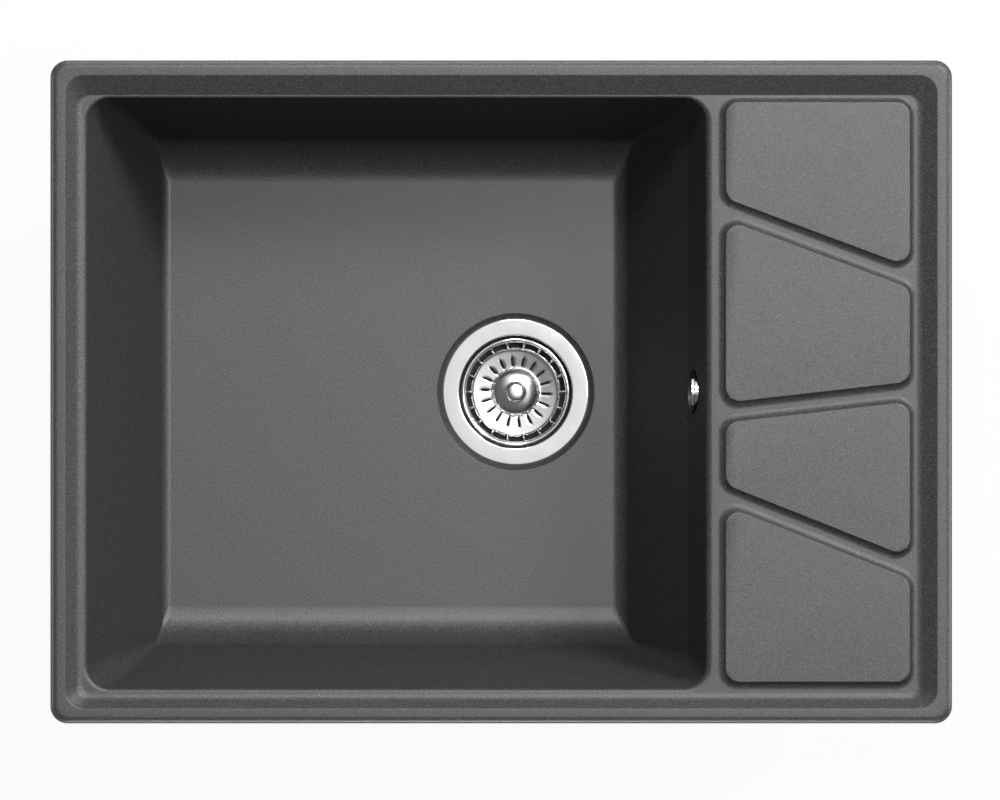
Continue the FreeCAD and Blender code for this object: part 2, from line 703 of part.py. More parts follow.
def waste_body():
    """The moulded cup under the floor: collar, chamber and bridge."""
    body = waste_body_at("waste_body")
    hole = "(outlet_radius - outlet_shoulder + fit_play)"
    corners = [
        ("chamber_radius", COLLAR_Z),
        ("collar_radius", COLLAR_Z),
        ("collar_radius", f"{COLLAR_Z} - collar_height"),
        ("chamber_radius + body_wall", f"{COLLAR_Z} - collar_height"),
        ("chamber_radius + body_wall", CHAMBER_FOOT),
        (hole, CHAMBER_FOOT),
        (hole, "-chamber_depth"),
        ("chamber_radius", "-chamber_depth"),
    ]
    turned(body, "shell", corners)
    outline = new_sketch(body, "branch_seat_outline", "YZ_Plane", "chamber_radius + body_wall")
    circle(outline, "0", BRANCH_Z, "branch_radius + fit_play")
    extrude(body, "Pocket", "branch_seat", outline, "chamber_radius / 2")
    outline = new_sketch(body, "bridge_outline", offset="-bridge_depth")
    half = "bridge_width / 2"
    start = "(chamber_radius + body_wall / 2)"
    polygon(outline, rectangle(f"-{half}", half, f"-{start}", start))
    extrude(body, "Pad", "bridge", outline, "bridge_height", flip=True)
    outline = new_sketch(body, "nut_pocket_outline", offset=NUT_Z)
    polygon(outline, hexagon("nut_radius + fit_play"))
    extrude(body, "Pocket", "nut_pocket", outline, "nut_height")
    outline = new_sketch(body, "bridge_bore_outline", offset="-bridge_depth")
    circle(outline, "0", "0", "screw_radius + hole_play")
    extrude(body, "Pocket", "bridge_bore", outline, "bridge_height")
    return body


def waste_outlet():
    """The spigot that the trap goes on, with its neck in the chamber's floor."""
    body = waste_body_at("waste_outlet")
    bore = "(outlet_radius - outlet_wall)"
    neck = "(outlet_radius - outlet_shoulder)"
    corners = [
        (bore, f"{CHAMBER_FOOT} - outlet_length"),
        ("outlet_radius", f"{CHAMBER_FOOT} - outlet_length"),
        ("outlet_radius", CHAMBER_FOOT),
        (neck, CHAMBER_FOOT),
        (neck, "-chamber_depth"),
        (bore, "-chamber_depth"),
    ]
    turned(body, "spigot", corners)
    return body


def overflow_branch():
    """The arm let into the side of the chamber, with an upright socket for the overflow pipe."""
    body = waste_body_at("overflow_branch")
    outline = new_sketch(body, "arm_outline", "YZ_Plane", "chamber_radius")
    circle(outline, "0", BRANCH_Z, "branch_radius")
    extrude(body, "Pad", "arm", outline, f"{BRANCH_X} - chamber_radius")
    outline = new_sketch(body, "socket_outline", offset=f"{BRANCH_Z} + branch_rise")
    circle(outline, BRANCH_X, "0", "branch_radius")
    extrude(body, "Pad", "socket", outline, "branch_rise + branch_radius", flip=True)
    outline = new_sketch(body, "arm_bore_outline", "YZ_Plane", BRANCH_X)
    circle(outline, "0", BRANCH_Z, "pipe_bore")
    extrude(body, "Pocket", "arm_bore", outline, f"{BRANCH_X} - chamber_radius")
    outline = new_sketch(body, "socket_bore_outline", offset=f"{BRANCH_Z} + branch_rise")
    circle(outline, BRANCH_X, "0", "pipe_bore")
    extrude(body, "Pocket", "socket_bore", outline, "branch_rise")
    outline = new_sketch(body, "socket_mouth_outline", offset=f"{BRANCH_Z} + branch_rise")
    circle(outline, BRANCH_X, "0", "pipe_radius + fit_play")
    extrude(body, "Pocket", "socket_mouth", outline, "socket_length")
    return body


# --- the basket -------------------------------------------------------------------------

BASKET_FLOOR = "(-basket_foot_depth)"
BASKET_UNDER = "(-basket_foot_depth - basket_sheet)"
PLUG_TOP = "(-basket_foot_depth - plug_drop)"
PLUG_FOOT = "(-basket_foot_depth - plug_drop - plug_height)"


def pattern(body, name, feature, count):
    """The feature repeated around the Z axis."""
    made = body.newObject("PartDesign::PolarPattern", name)
    made.Originals = [feature]
    made.Axis = (origin_part(body, "Z_Axis"), [""])
    made.Angle = 360
    made.setExpression("Occurrences", formula(count))
    body.Tip = made
    doc.recompute()
    return made


def strainer_basket():
    """A pressed basket: rolled rim, wall with windows, dished floor with slots."""
    body = waste_body_at("strainer_basket")
    top = "(-basket_top)"
    inner = "(basket_radius - bead_width)"
    corners = [
        ("basket_radius", f"{top} - bead_height"),
        ("basket_radius", top),
        (inner, top),
        ("basket_foot_radius - basket_sheet", BASKET_FLOOR),
        ("stem_radius + fit_play", BASKET_FLOOR),
        ("stem_radius + fit_play", BASKET_UNDER),
        ("basket_foot_radius", BASKET_UNDER),
        (f"{inner} + basket_sheet", f"{top} - bead_height"),
    ]
    turned(body, "pressing", corners)
    outline = new_sketch(body, "window_outline", "YZ_Plane", "basket_foot_radius / 2")
    half = "window_width / 2"
    polygon(outline, rectangle(f"-{half}", half, "-window_foot", "-window_top"))
    window = extrude(body, "Pocket", "window", outline, "basket_radius", flip=True)
    pattern(body, "windows", window, "window_count")
    outline = new_sketch(body, "slot_outline", offset=BASKET_FLOOR)
    outline.AttachmentOffset.Rotation.Axis = FreeCAD.Vector(0, 0, 1)
    outline.setExpression("AttachmentOffset.Rotation.Angle", formula("slot_turn - window_turn"))
    half = "slot_width / 2"
    polygon(outline, rectangle("slot_inner", "slot_outer", f"-{half}", half))
    slot = extrude(body, "Pocket", "slot", outline, "basket_sheet")
    pattern(body, "slots", slot, "window_count")
    body.setExpression("Placement.Rotation.Angle", formula("window_turn"))
    return body


def basket_knob():
    """A domed cap with a low nub on top, hollow for the stem."""
    body = waste_body_at("basket_knob")
    top = f"({BASKET_FLOOR} + knob_height)"
    bore = "stem_radius + fit_play"
    bore_top = f"({BASKET_FLOOR} + stem_grip)"
    corners = [
        (bore, BASKET_FLOOR),
        ("knob_radius", BASKET_FLOOR),
        ("knob_radius * 0.94", f"{BASKET_FLOOR} + knob_height * 0.45"),
        ("knob_radius * 0.74", f"{BASKET_FLOOR} + knob_height * 0.82"),
        ("nub_radius", top),
        ("nub_radius * 0.8", f"{top} + nub_height"),
        ("0", f"{top} + nub_height"),
        ("0", bore_top),
        (bore, bore_top),
    ]
    turned(body, "knob", corners)
    return body


def basket_stem():
    """The bolt that holds knob, basket and plug together."""
    body = waste_body_at("basket_stem")
    head = f"({PLUG_FOOT} - stem_head_height)"
    top = f"({BASKET_FLOOR} + stem_grip - fit_play)"
    corners = [
        ("0", head),
        ("stem_head_radius", head),
        ("stem_head_radius", PLUG_FOOT),
        ("stem_radius", PLUG_FOOT),
        ("stem_radius", top),
        ("0", top),
    ]
    turned(body, "stem", corners)
    return body


def basket_plug():
    """The rubber plug under the basket, with a collar up to the basket's floor."""
    body = waste_body_at("basket_plug")
    bore = "stem_radius + fit_play"
    corners = [
        (bore, PLUG_FOOT),
        ("plug_radius", PLUG_FOOT),
        ("plug_radius", PLUG_TOP),
        ("hub_radius", PLUG_TOP),
        ("hub_radius", BASKET_UNDER),
        (bore, BASKET_UNDER),
    ]
    turned(body, "plug", corners)
    return body


# --- the overflow -----------------------------------------------------------------------

COVER_BACK = "(ring_plate + cover_gap)"


def overflow_cover():
    """A plate on three feet, its local origin on the land and X pointing into the wall."""
    body = overflow_body_at("overflow_cover", LAND_X)
    hole = "cover_screw_radius + fit_play"
    front = f"(-{COVER_BACK} - cover_plate)"
    corners = [
        (f"-{COVER_BACK}", hole),
        (f"-{COVER_BACK}", "cover_radius"),
        (front, "cover_radius"),
        (front, "cover_screw_head + fit_play"),
        (f"{front} + cover_plate / 2", hole),
    ]
    turned(body, "plate", corners, "H_Axis")
    outline = new_sketch(body, "foot_outline", "YZ_Plane", f"-{COVER_BACK}")
    middle = "(ring_radius - cover_foot / 2)"
    half = "cover_foot / 2"
    polygon(outline, rectangle(f"-{half}", half, f"{middle} - {half}", f"{middle} + {half} / 2"))
    foot = extrude(body, "Pad", "foot", outline, "cover_gap")
    feet = body.newObject("PartDesign::PolarPattern", "feet")
    feet.Originals = [foot]
    feet.Axis = (origin_part(body, "X_Axis"), [""])
    feet.Angle = 360
    feet.Occurrences = 3
    body.Tip = feet
    doc.recompute()
    return body


def overflow_ring():
    """A plain ring between the cover's feet and the land."""
    body = overflow_body_at("overflow_ring", LAND_X)
    turned(body, "ring", rectangle("-ring_plate", "0", "ring_opening", "ring_radius"), "H_Axis")
    return body


def overflow_screw():
    """The countersunk screw that draws cover and elbow together."""
    body = overflow_body_at("overflow_screw", LAND_X)
    front = f"(-{COVER_BACK} - cover_plate)"
    corners = [
        (front, "0"),
        (f"{front} + cover_screw_length", "0"),
        (f"{front} + cover_screw_length", "cover_screw_radius"),
        (f"{front} + cover_plate / 2", "cover_screw_radius"),
        (front, "cover_screw_head"),
    ]
    turned(body, "screw", corners, "H_Axis")
    return body


def overflow_seal():
    """The flat ring between the elbow and the wall."""
    body = overflow_body_at("overflow_seal", f"{LAND_X} + overflow_boss")
    corners = rectangle("0", "wall_seal_height", "overflow_hole_radius + hole_play", "elbow_flange_radius")
    turned(body, "seal", corners, "H_Axis")
    return body


def overflow_elbow():
    """A cup behind the wall with a leg that points down, moulded in one."""
    body = overflow_body_at("overflow_elbow", ELBOW_FACE)
    corners = [
        ("0", "0"),
        ("elbow_length", "0"),
        ("elbow_length", "elbow_radius"),
        ("elbow_flange_height", "elbow_radius"),
        ("elbow_flange_height", "elbow_flange_radius"),
        ("0", "elbow_flange_radius"),
    ]
    turned(body, "housing", corners, "H_Axis")
    outline = new_sketch(body, "leg_outline")
    circle(outline, "elbow_axis", "0", "branch_radius")
    extrude(body, "Pad", "leg", outline, "elbow_leg", flip=True)
    outline = new_sketch(body, "housing_bore_outline", "YZ_Plane")
    circle(outline, "0", "0", "elbow_radius - body_wall")
    extrude(body, "Pocket", "housing_bore", outline, "elbow_length - body_wall", flip=True)
    outline = new_sketch(body, "leg_bore_outline", offset="-elbow_leg")
    circle(outline, "elbow_axis", "0", "pipe_bore")
    extrude(body, "Pocket", "leg_bore", outline, "elbow_leg", flip=True)
    outline = new_sketch(body, "leg_socket_outline", offset="-elbow_leg")
    circle(outline, "elbow_axis", "0", "pipe_radius + fit_play")
    extrude(body, "Pocket", "leg_socket", outline, "socket_length", flip=True)
    outline = new_sketch(body, "boss_outline", "YZ_Plane", "elbow_length - body_wall")
    circle(outline, "0", "0", "elbow_boss_radius")
    extrude(body, "Pad", "boss", outline, "elbow_boss_length", flip=True)
    boss_end = "elbow_length - body_wall - elbow_boss_length"
    outline = new_sketch(body, "boss_bore_outline", "YZ_Plane", boss_end)
    circle(outline, "0", "0", "cover_screw_radius + fit_play")
    extrude(body, "Pocket", "boss_bore", outline, "elbow_boss_length", flip=True)
    return body


PIPE_TOP = f"({OVERFLOW_Z} - elbow_leg + socket_length - pipe_setback)"
SOCKET_TOP = f"({FLOOR} - branch_drop + branch_rise)"
PIPE_FOOT = f"({SOCKET_TOP} - socket_length + pipe_setback)"


def overflow_pipe():
    """A straight pipe from the elbow's leg down to the branch's socket."""
    body = new_body("overflow_pipe")
    place(body, PIPE_X, "0", PIPE_FOOT)
    outline = new_sketch(body, "pipe_outline")
    circle(outline, "0", "0", "pipe_radius")
    circle(outline, "0", "0", "pipe_bore")
    extrude(body, "Pad", "pipe", outline, f"{PIPE_TOP} - {PIPE_FOOT}")
    return body


# --- groups of like pieces ---------------------------------------------------------------


def primitive(kind, name, x, y, z, **sizes):
    """A Part primitive whose sizes and place follow formulas."""
    made = doc.addObject(f"Part::{kind}", name)
    for size, text in sizes.items():
        made.setExpression(size, formula(text))
    place(made, x, y, z)
    return made


def without(name, base, tool):
    """One solid less another."""
    made = doc.addObject("Part::Cut", name)
    made.Base = base
    made.Tool = tool
    return made


def group(name, items):
    """Separate like solids under one name."""
    made = doc.addObject("Part::Compound", name)
    made.Label = name
    made.Links = items
    doc.recompute()
    return made


def clip_screws():
    """Hexagon screws up through the clips into the inserts."""
    items = []
    under_head = f"({LUG_BOTTOM} - clip_sheet - 2 * clip_gap)"
    for name, x, y, angle in CLIPS:
        reach = {"Radius": "clip_screw_radius", "Height": "clip_sheet + 2 * clip_gap + clip_screw_grip"}
        shank = primitive("Cylinder", f"shank_{name}", x, y, under_head, **reach)
        hexagon_head = {"Circumradius": "clip_screw_head", "Height": "clip_screw_head_height"}
        low = f"{under_head} - clip_screw_head_height"
        head = primitive("Prism", f"head_{name}", x, y, low, **hexagon_head)
        screw = doc.addObject("Part::Fuse", f"screw_{name}")
        screw.Base = shank
        screw.Tool = head
        items.append(screw)
    return group("clip_screws", items)


def mounting_clip(name, x, y, angle):
    """A pressed clip with a claw, drawn with its arm along +Y and its origin at the boss."""
    body = new_body(f"clip_{name}")
    top = "(-clip_gap)"
    foot = "(-clip_gap - clip_sheet)"
    claw = "(clip_arm - clip_sheet)"
    half = "clip_width / 2"
    outline = new_sketch(body, "arm_outline", offset=foot)
    polygon(outline, rectangle(f"-{half}", half, "-clip_tail", "clip_arm"))
    wide, long = "(clip_screw_radius + fit_play)", "clip_slot / 2"
    polygon(outline, rectangle(f"-{wide}", wide, f"-{long}", long))
    extrude(body, "Pad", "arm", outline, "clip_sheet")
    outline = new_sketch(body, "claw_outline", "YZ_Plane")
    polygon(outline, rectangle(claw, "clip_arm", foot, "claw_height"))
    upright = extrude(body, "Pad", "claw", outline, "claw_width")
    upright.Midplane = True
    outline = new_sketch(body, "gusset_outline", "YZ_Plane")
    reach = f"({claw} - gusset_run)"
    polygon(outline, [(reach, top), (reach, foot), (claw, foot), (claw, "gusset_run - clip_gap")])
    gusset = extrude(body, "Pad", "gusset", outline, "clip_sheet")
    gusset.Midplane = True
    place(body, x, y, LUG_BOTTOM)
    body.Placement.Rotation = FreeCAD.Rotation(FreeCAD.Vector(0, 0, 1), angle)
    return body


def pipe_joint(name, z, turn):
    """A compression nut and its rubber washer at a socket's mouth, along the pipe."""
    inner = "branch_radius + hole_play"
    height = "nut_grip + washer_height + fit_play + nut_cap"
    prism = primitive("Prism", f"nut_{name}", "0", "0", "-nut_grip", Circumradius="nut_flats", Height=height)
    sizes = {"Radius": inner, "Height": "nut_grip + washer_height + fit_play"}
    thread = primitive("Cylinder", f"nut_thread_{name}", "0", "0", "-nut_grip", **sizes)
    sizes = {"Radius": "pipe_radius + fit_play", "Height": height}
    way = primitive("Cylinder", f"nut_way_{name}", "0", "0", "-nut_grip", **sizes)
    nut = without(f"joint_{name}", without(f"nut_shell_{name}", prism, thread), way)
    sizes = {"Radius": "branch_radius", "Height": "washer_height"}
    blank = primitive("Cylinder", f"washer_blank_{name}", "0", "0", "0", **sizes)
    sizes = {"Radius": "pipe_radius + fit_play", "Height": "washer_height"}
    hole = primitive("Cylinder", f"washer_hole_{name}", "0", "0", "0", **sizes)
    washer = without(f"washer_{name}", blank, hole)
    for item in (nut, washer):
        place(item, PIPE_X, "0", z)
        item.Placement.Rotation = FreeCAD.Rotation(FreeCAD.Vector(1, 0, 0), turn)
    return nut, washer


def pipe_joints():
    """The nuts and washers at the two ends of the overflow pipe."""
    upper = pipe_joint("upper", f"{OVERFLOW_Z} - elbow_leg", 180)
    lower = pipe_joint("lower", SOCKET_TOP, 0)
    nuts = group("overflow_nuts", [upper[0], lower[0]])
    washers = group("pipe_washers", [upper[1], lower[1]])
    return [nuts, washers]


# --- the sink ------------------------------------------------------------------------------

MAKERS = (
    sink_moulding,
    waste_flange,
    body_seal,
    centre_screw,
    screw_nut,
    waste_body,
    waste_outlet,
    overflow_branch,
    strainer_basket,
    basket_knob,
    basket_stem,
    basket_plug,
    overflow_cover,
    overflow_ring,
    overflow_screw,
    overflow_seal,
    overflow_elbow,
    overflow_pipe,
    clip_screws,
)

subparts = [make() for make in MAKERS]
subparts += pipe_joints()
subparts += [mounting_clip(*clip) for clip in CLIPS]
doc.removeObject(gauge.Name)
doc.recompute()

failed = [item.Name for item in doc.Objects if {"Invalid", "Error"} & set(item.State)]
failed += [item.Label for item in subparts if item.Shape.isNull() or not item.Shape.isValid()]
if failed:
    raise RuntimeError(f"these did not come out: {failed}")

os.makedirs("parts", exist_ok=True)
for item in subparts:
    item.Shape.exportStep(f"parts/{item.Label}.step")
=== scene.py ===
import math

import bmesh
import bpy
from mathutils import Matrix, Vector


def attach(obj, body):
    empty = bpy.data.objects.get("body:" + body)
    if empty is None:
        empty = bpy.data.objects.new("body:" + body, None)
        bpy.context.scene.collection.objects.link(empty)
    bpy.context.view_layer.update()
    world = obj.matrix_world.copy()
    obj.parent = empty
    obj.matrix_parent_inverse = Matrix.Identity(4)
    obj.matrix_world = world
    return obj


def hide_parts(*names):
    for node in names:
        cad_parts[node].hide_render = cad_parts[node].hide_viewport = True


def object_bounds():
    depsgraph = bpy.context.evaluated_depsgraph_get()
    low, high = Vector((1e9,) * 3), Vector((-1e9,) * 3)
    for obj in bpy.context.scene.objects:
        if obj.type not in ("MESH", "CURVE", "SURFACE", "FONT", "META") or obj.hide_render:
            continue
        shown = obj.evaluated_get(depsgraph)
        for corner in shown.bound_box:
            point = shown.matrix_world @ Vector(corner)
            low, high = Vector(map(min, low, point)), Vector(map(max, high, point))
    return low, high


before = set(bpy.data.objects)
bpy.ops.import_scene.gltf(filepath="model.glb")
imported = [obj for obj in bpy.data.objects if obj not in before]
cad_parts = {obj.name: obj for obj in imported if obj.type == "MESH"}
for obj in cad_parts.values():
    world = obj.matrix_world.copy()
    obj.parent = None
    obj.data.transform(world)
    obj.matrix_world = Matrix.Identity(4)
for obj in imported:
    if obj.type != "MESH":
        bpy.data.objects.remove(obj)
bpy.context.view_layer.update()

# %% [markdown]
# # An inset kitchen sink with a drainboard
# The engineering model has just been loaded: the moulding, the basket waste, the overflow
# and the clips, each as its own mesh. It is exact but plain, with a facet for every curve.
# This file gives it its looks. What the eye rests on is built again more finely, on the same
# sizes, and everything else gets a finish of its own.

MM = 0.001

# %% [markdown]
# ## The camera
# The picture is taken straight down and shows almost no perspective, so the camera stands
# twenty metres up with a very long lens. Its width at the rim comes from the sink's length of
# 680 mm and the share of the picture that it fills.

# %% Camera
RIM_TOP = 8.0
CAMERA_X, CAMERA_Y, CAMERA_HEIGHT = -0.9, -6.1, 20000.0
WIDTH_SEEN = 754.0
lens = bpy.data.cameras.new("camera")
lens.sensor_width = 36.0
lens.lens = lens.sensor_width * (CAMERA_HEIGHT - RIM_TOP) / WIDTH_SEEN
lens.clip_start, lens.clip_end = 1.0, 60.0
camera = bpy.data.objects.new("camera", lens)
camera.location = Vector((CAMERA_X, CAMERA_Y, CAMERA_HEIGHT)) * MM
bpy.context.scene.collection.objects.link(camera)
bpy.context.scene.camera = camera
print("lens, mm:", round(lens.lens))

# %% [markdown]
# ## Light and background
# From above, soft light falls from three large lamps, three metres away. The key lamp stands
# at the back right and half way up, because the front and left walls of the bowl are the
# lighter ones. A second lamp hangs nearly overhead: the satin skin mirrors it only where it
# faces nearly up, which is what makes the slopes darker than the ledge. The third fills in
# from the back. The lamps are near enough for the ledge to pale a little towards the back
# right. Four small lamps stand lower than the deck, so that they light the outside of the bowl
# and the pipework for anyone who walks round the sink, and nothing that the picture from above
# shows.

# %% Lamps
LAMP_DISTANCE, LAMP_SIZE = 3.0, 0.7
LAMPS = {"key": (45, 47, 1.75), "top": (35, 12, 1.25), "back": (90, 32, 1.0)}
LOW_LEAN, LOW_SIZE = 94, 0.3
LOW_LAMPS = {"low_front": (-90, LOW_LEAN, 2.2), "low_left": (180, LOW_LEAN, 1.0),
             "low_right": (0, LOW_LEAN, 1.4), "low_back": (90, LOW_LEAN, 1.4)}
for side, (turn, lean, level) in {**LAMPS, **LOW_LAMPS}.items():
    lamp = bpy.data.lights.new(f"lamp_{side}", "AREA")
    lamp.shape = "DISK"
    lamp.size = LOW_SIZE if lean == LOW_LEAN else LAMP_SIZE
    lamp.energy = level * math.pi * LAMP_DISTANCE ** 2
    source = bpy.data.objects.new(f"lamp_{side}", lamp)
    tilt = math.radians(lean)
    way = Matrix.Rotation(math.radians(turn), 3, "Z") @ Vector((math.sin(tilt), 0, math.cos(tilt)))
    source.location = way * LAMP_DISTANCE
    source.rotation_euler = way.to_track_quat("Z", "Y").to_euler()
    source.visible_camera = False
    bpy.context.scene.collection.objects.link(source)
print("lamps:", len(LAMPS) + len(LOW_LAMPS))

# %% [markdown]
# The world is plain white to the camera. In reflections it is a studio ceiling that brightens
# towards the back right: straight up it is white, which is what the flat steel shows, and the
# round of the knob and the dish of the basket run from dark to bright across it. Everything
# else takes only a weak share of it, so that it fills the shadows a little.

# %% World
FILL = 0.10
DARK_SIDE, BRIGHT_SIDE = 0.17, 1.6
DARK_UNTIL, BRIGHT_FROM = 0.47, 0.88
BRIGHT_WAY = (0.5, 0.5, 0.707)


def node(tree, kind, **inputs):
    """Adds a shader node and sets its plain inputs by name."""
    made = tree.nodes.new(kind)
    for name, value in inputs.items():
        made.inputs[name.replace("_", " ")].default_value = value
    return made


def combined(tree, kind, one, other):
    """A Math node on two sockets."""
    made = tree.nodes.new("ShaderNodeMath")
    made.operation = kind
    tree.links.new(one, made.inputs[0])
    tree.links.new(other, made.inputs[1])
    return made.outputs[0]


def rays(tree):
    """The camera's own rays, and those that metal or glass sends on."""
    path = tree.nodes.new("ShaderNodeLightPath")
    mirrored = combined(tree, "MAXIMUM", path.outputs["Is Glossy Ray"],
                        path.outputs["Is Transmission Ray"])
    return path.outputs["Is Camera Ray"], mirrored


print("bright way:", BRIGHT_WAY)

# %% World's nodes
world = bpy.data.worlds.new("studio")
bpy.context.scene.world = world
world.use_nodes = True
tree = world.node_tree
tree.nodes.clear()
way = tree.nodes.new("ShaderNodeTexCoord")
aim = tree.nodes.new("ShaderNodeVectorMath")
aim.operation = "DOT_PRODUCT"
aim.inputs[1].default_value = BRIGHT_WAY
tree.links.new(way.outputs["Generated"], aim.inputs[0])
room = node(tree, "ShaderNodeMapRange", From_Min=DARK_UNTIL, From_Max=BRIGHT_FROM,
            To_Min=DARK_SIDE, To_Max=BRIGHT_SIDE)
tree.links.new(aim.outputs["Value"], room.inputs["Value"])
direct, mirrored = rays(tree)
share = node(tree, "ShaderNodeMapRange", To_Min=FILL, To_Max=1.0)
tree.links.new(mirrored, share.inputs["Value"])
level = combined(tree, "MULTIPLY", room.outputs[0], share.outputs[0])
studio = node(tree, "ShaderNodeBackground", Color=(1, 1, 1, 1))
tree.links.new(level, studio.inputs["Strength"])
white = node(tree, "ShaderNodeBackground", Color=(1, 1, 1, 1), Strength=1.0)
mix = tree.nodes.new("ShaderNodeMixShader")
tree.links.new(direct, mix.inputs[0])
tree.links.new(studio.outputs[0], mix.inputs[1])
tree.links.new(white.outputs[0], mix.inputs[2])
out = tree.nodes.new("ShaderNodeOutputWorld")
tree.links.new(mix.outputs[0], out.inputs[0])
bpy.context.scene.view_settings.view_transform = "Standard"
print("world nodes:", len(tree.nodes), "fill light:", FILL)

# %% [markdown]
# The floor is a broad white sheet just below the waste outlet. Part of its white is its own,
# as with lit paper in a light box, and the rest is light that falls on it, so that the sink
# still leaves a faint soft shadow. Metal mirrors the same white.

# %% Floor
PAPER_GLOW = 0.95
FLOOR_REACH, FLOOR_GAP = 6.0, 2 * MM
floor_mesh = bpy.data.meshes.new("floor")
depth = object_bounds()[0].z - FLOOR_GAP
floor_mesh.from_pydata([(x * FLOOR_REACH, y * FLOOR_REACH, depth)
                        for x, y in ((-1, -1), (1, -1), (1, 1), (-1, 1))], [], [(0, 1, 2, 3)])
floor = bpy.data.objects.new("floor", floor_mesh)
bpy.context.scene.collection.objects.link(floor)
paper = bpy.data.materials.new("white_paper")
paper.use_nodes = True
tree = paper.node_tree
tree.nodes.clear()
lit = node(tree, "ShaderNodeBsdfDiffuse", Color=(0.86, 0.86, 0.86, 1))
own = node(tree, "ShaderNodeEmission", Color=(1, 1, 1, 1), Strength=1.0)
share = node(tree, "ShaderNodeMixShader", Fac=PAPER_GLOW)
seen = combined(tree, "MAXIMUM", *rays(tree))
shown = tree.nodes.new("ShaderNodeMixShader")
tree.links.new(lit.outputs[0], share.inputs[1])
tree.links.new(own.outputs[0], share.inputs[2])
tree.links.new(seen, shown.inputs[0])
tree.links.new(lit.outputs[0], shown.inputs[1])
tree.links.new(share.outputs[0], shown.inputs[2])
out = tree.nodes.new("ShaderNodeOutputMaterial")
tree.links.new(shown.outputs[0], out.inputs[0])
floor_mesh.materials.append(paper)
print("floor at, mm:", round(depth / MM, 1))

# %% [markdown]
# ## Finishes
# Every finish is a node material on Object coordinates. Because each piece's object sits at
# the origin, one metre of pattern is one metre of sink, and the grain runs on from one face
# to the next without a seam.

# %% A material helper


def finish(name, color, metallic, roughness):
    """A Principled material with its constants set on the shader itself."""
    made = bpy.data.materials.new(name)
    made.use_nodes = True
    shader = made.node_tree.nodes["Principled BSDF"]
    shader.inputs["Base Color"].default_value = (*color, 1)
    shader.inputs["Metallic"].default_value = metallic
    shader.inputs["Roughness"].default_value = roughness
    return made, made.node_tree, shader


def noise(tree, scale, detail=2.0, rough=0.5, stretch=None):
    """Noise on Object coordinates, stretched along an axis if asked."""
    place = tree.nodes.new("ShaderNodeTexCoord")
    made = node(tree, "ShaderNodeTexNoise", Scale=scale, Detail=detail, Roughness=rough)
    if stretch:
        turn = node(tree, "ShaderNodeMapping", Scale=stretch)
        tree.links.new(place.outputs["Object"], turn.inputs["Vector"])
        tree.links.new(turn.outputs[0], made.inputs["Vector"])
    else:
        tree.links.new(place.outputs["Object"], made.inputs["Vector"])
    return made


def ramp(tree, source, *stops):
    """A colour ramp from grey levels: (place, level) pairs."""
    made = tree.nodes.new("ShaderNodeValToRGB")
    marks = made.color_ramp.elements
    while len(marks) < len(stops):
        marks.new(0.5)
    for mark, (place, level) in zip(marks, stops):
        mark.position = place
        mark.color = (*level, 1) if isinstance(level, tuple) else (level, level, level, 1)
    tree.links.new(source, made.inputs["Fac"])
    return made


def bump(tree, shader, source, depth, strength):
    """Surface relief of a real depth in metres."""
    made = node(tree, "ShaderNodeBump", Strength=strength, Distance=depth)
    tree.links.new(source, made.inputs["Height"])
    tree.links.new(made.outputs[0], shader.inputs["Normal"])


print("material helpers:", [helper.__name__ for helper in (finish, noise, ramp, bump)])

# %% [markdown]
# The moulding is crushed stone bound in resin: a dark grey body, pale and black grains about
# half a millimetre across, and a satin skin with a slight orange-peel. The grains come from
# two noises, a fine one for the overall speckle and a sharper one whose highest peaks become
# the few pale flecks. What faces up takes a sheen in the mould and in use, while the steep
# walls, which slide out of the mould, stay duller, so the sheen follows the upward part of
# the surface's own direction. Years of washing up also polish the bowl's floor a little.

# %% Stone composite
stone, tree, shader = finish("stone_composite", (0.042, 0.042, 0.042), 0.0, 0.44)
speckle = noise(tree, 900.0, 3.0, 0.7)
body = ramp(tree, speckle.outputs["Fac"], (0.30, 0.014), (0.5, 0.040), (0.72, 0.085))
flecks = noise(tree, 1500.0, 1.0, 0.4)
pale = ramp(tree, flecks.outputs["Fac"], (0.60, 0.0), (0.72, 0.12))
blend = tree.nodes.new("ShaderNodeMix")
blend.data_type = "RGBA"
blend.blend_type = "ADD"
blend.inputs[0].default_value = 1.0
tree.links.new(body.outputs[0], blend.inputs[6])
tree.links.new(pale.outputs[0], blend.inputs[7])
tree.links.new(blend.outputs[2], shader.inputs["Base Color"])
print(stone.name, "colour set")

# %% The stone's sheen
POLISHED_BELOW, DULL_ABOVE, POLISH = -0.188, -0.12, 0.93
place = tree.nodes.new("ShaderNodeTexCoord")
parts = tree.nodes.new("ShaderNodeSeparateXYZ")
tree.links.new(place.outputs["Normal"], parts.inputs[0])
sheen = ramp(tree, parts.outputs["Z"], (0.30, 0.12), (0.75, 0.5))
tree.links.new(sheen.outputs[0], shader.inputs["Specular IOR Level"])
dull = ramp(tree, parts.outputs["Z"], (0.30, 0.62), (0.75, 0.44))
satin = noise(tree, 60.0, 2.0, 0.5)
cloudy = ramp(tree, satin.outputs["Fac"], (0.3, 0.985), (0.7, 1.015))
worn = combined(tree, "MULTIPLY", dull.outputs[0], cloudy.outputs[0])
height = tree.nodes.new("ShaderNodeSeparateXYZ")
tree.links.new(place.outputs["Object"], height.inputs[0])
rubbed = node(tree, "ShaderNodeMapRange", From_Min=POLISHED_BELOW, From_Max=DULL_ABOVE,
              To_Min=POLISH, To_Max=1.0)
tree.links.new(height.outputs["Z"], rubbed.inputs["Value"])
used = combined(tree, "MULTIPLY", worn, rubbed.outputs[0])
tree.links.new(used, shader.inputs["Roughness"])
bump(tree, shader, speckle.outputs["Fac"], 0.00005, 0.35)
print(stone.name)

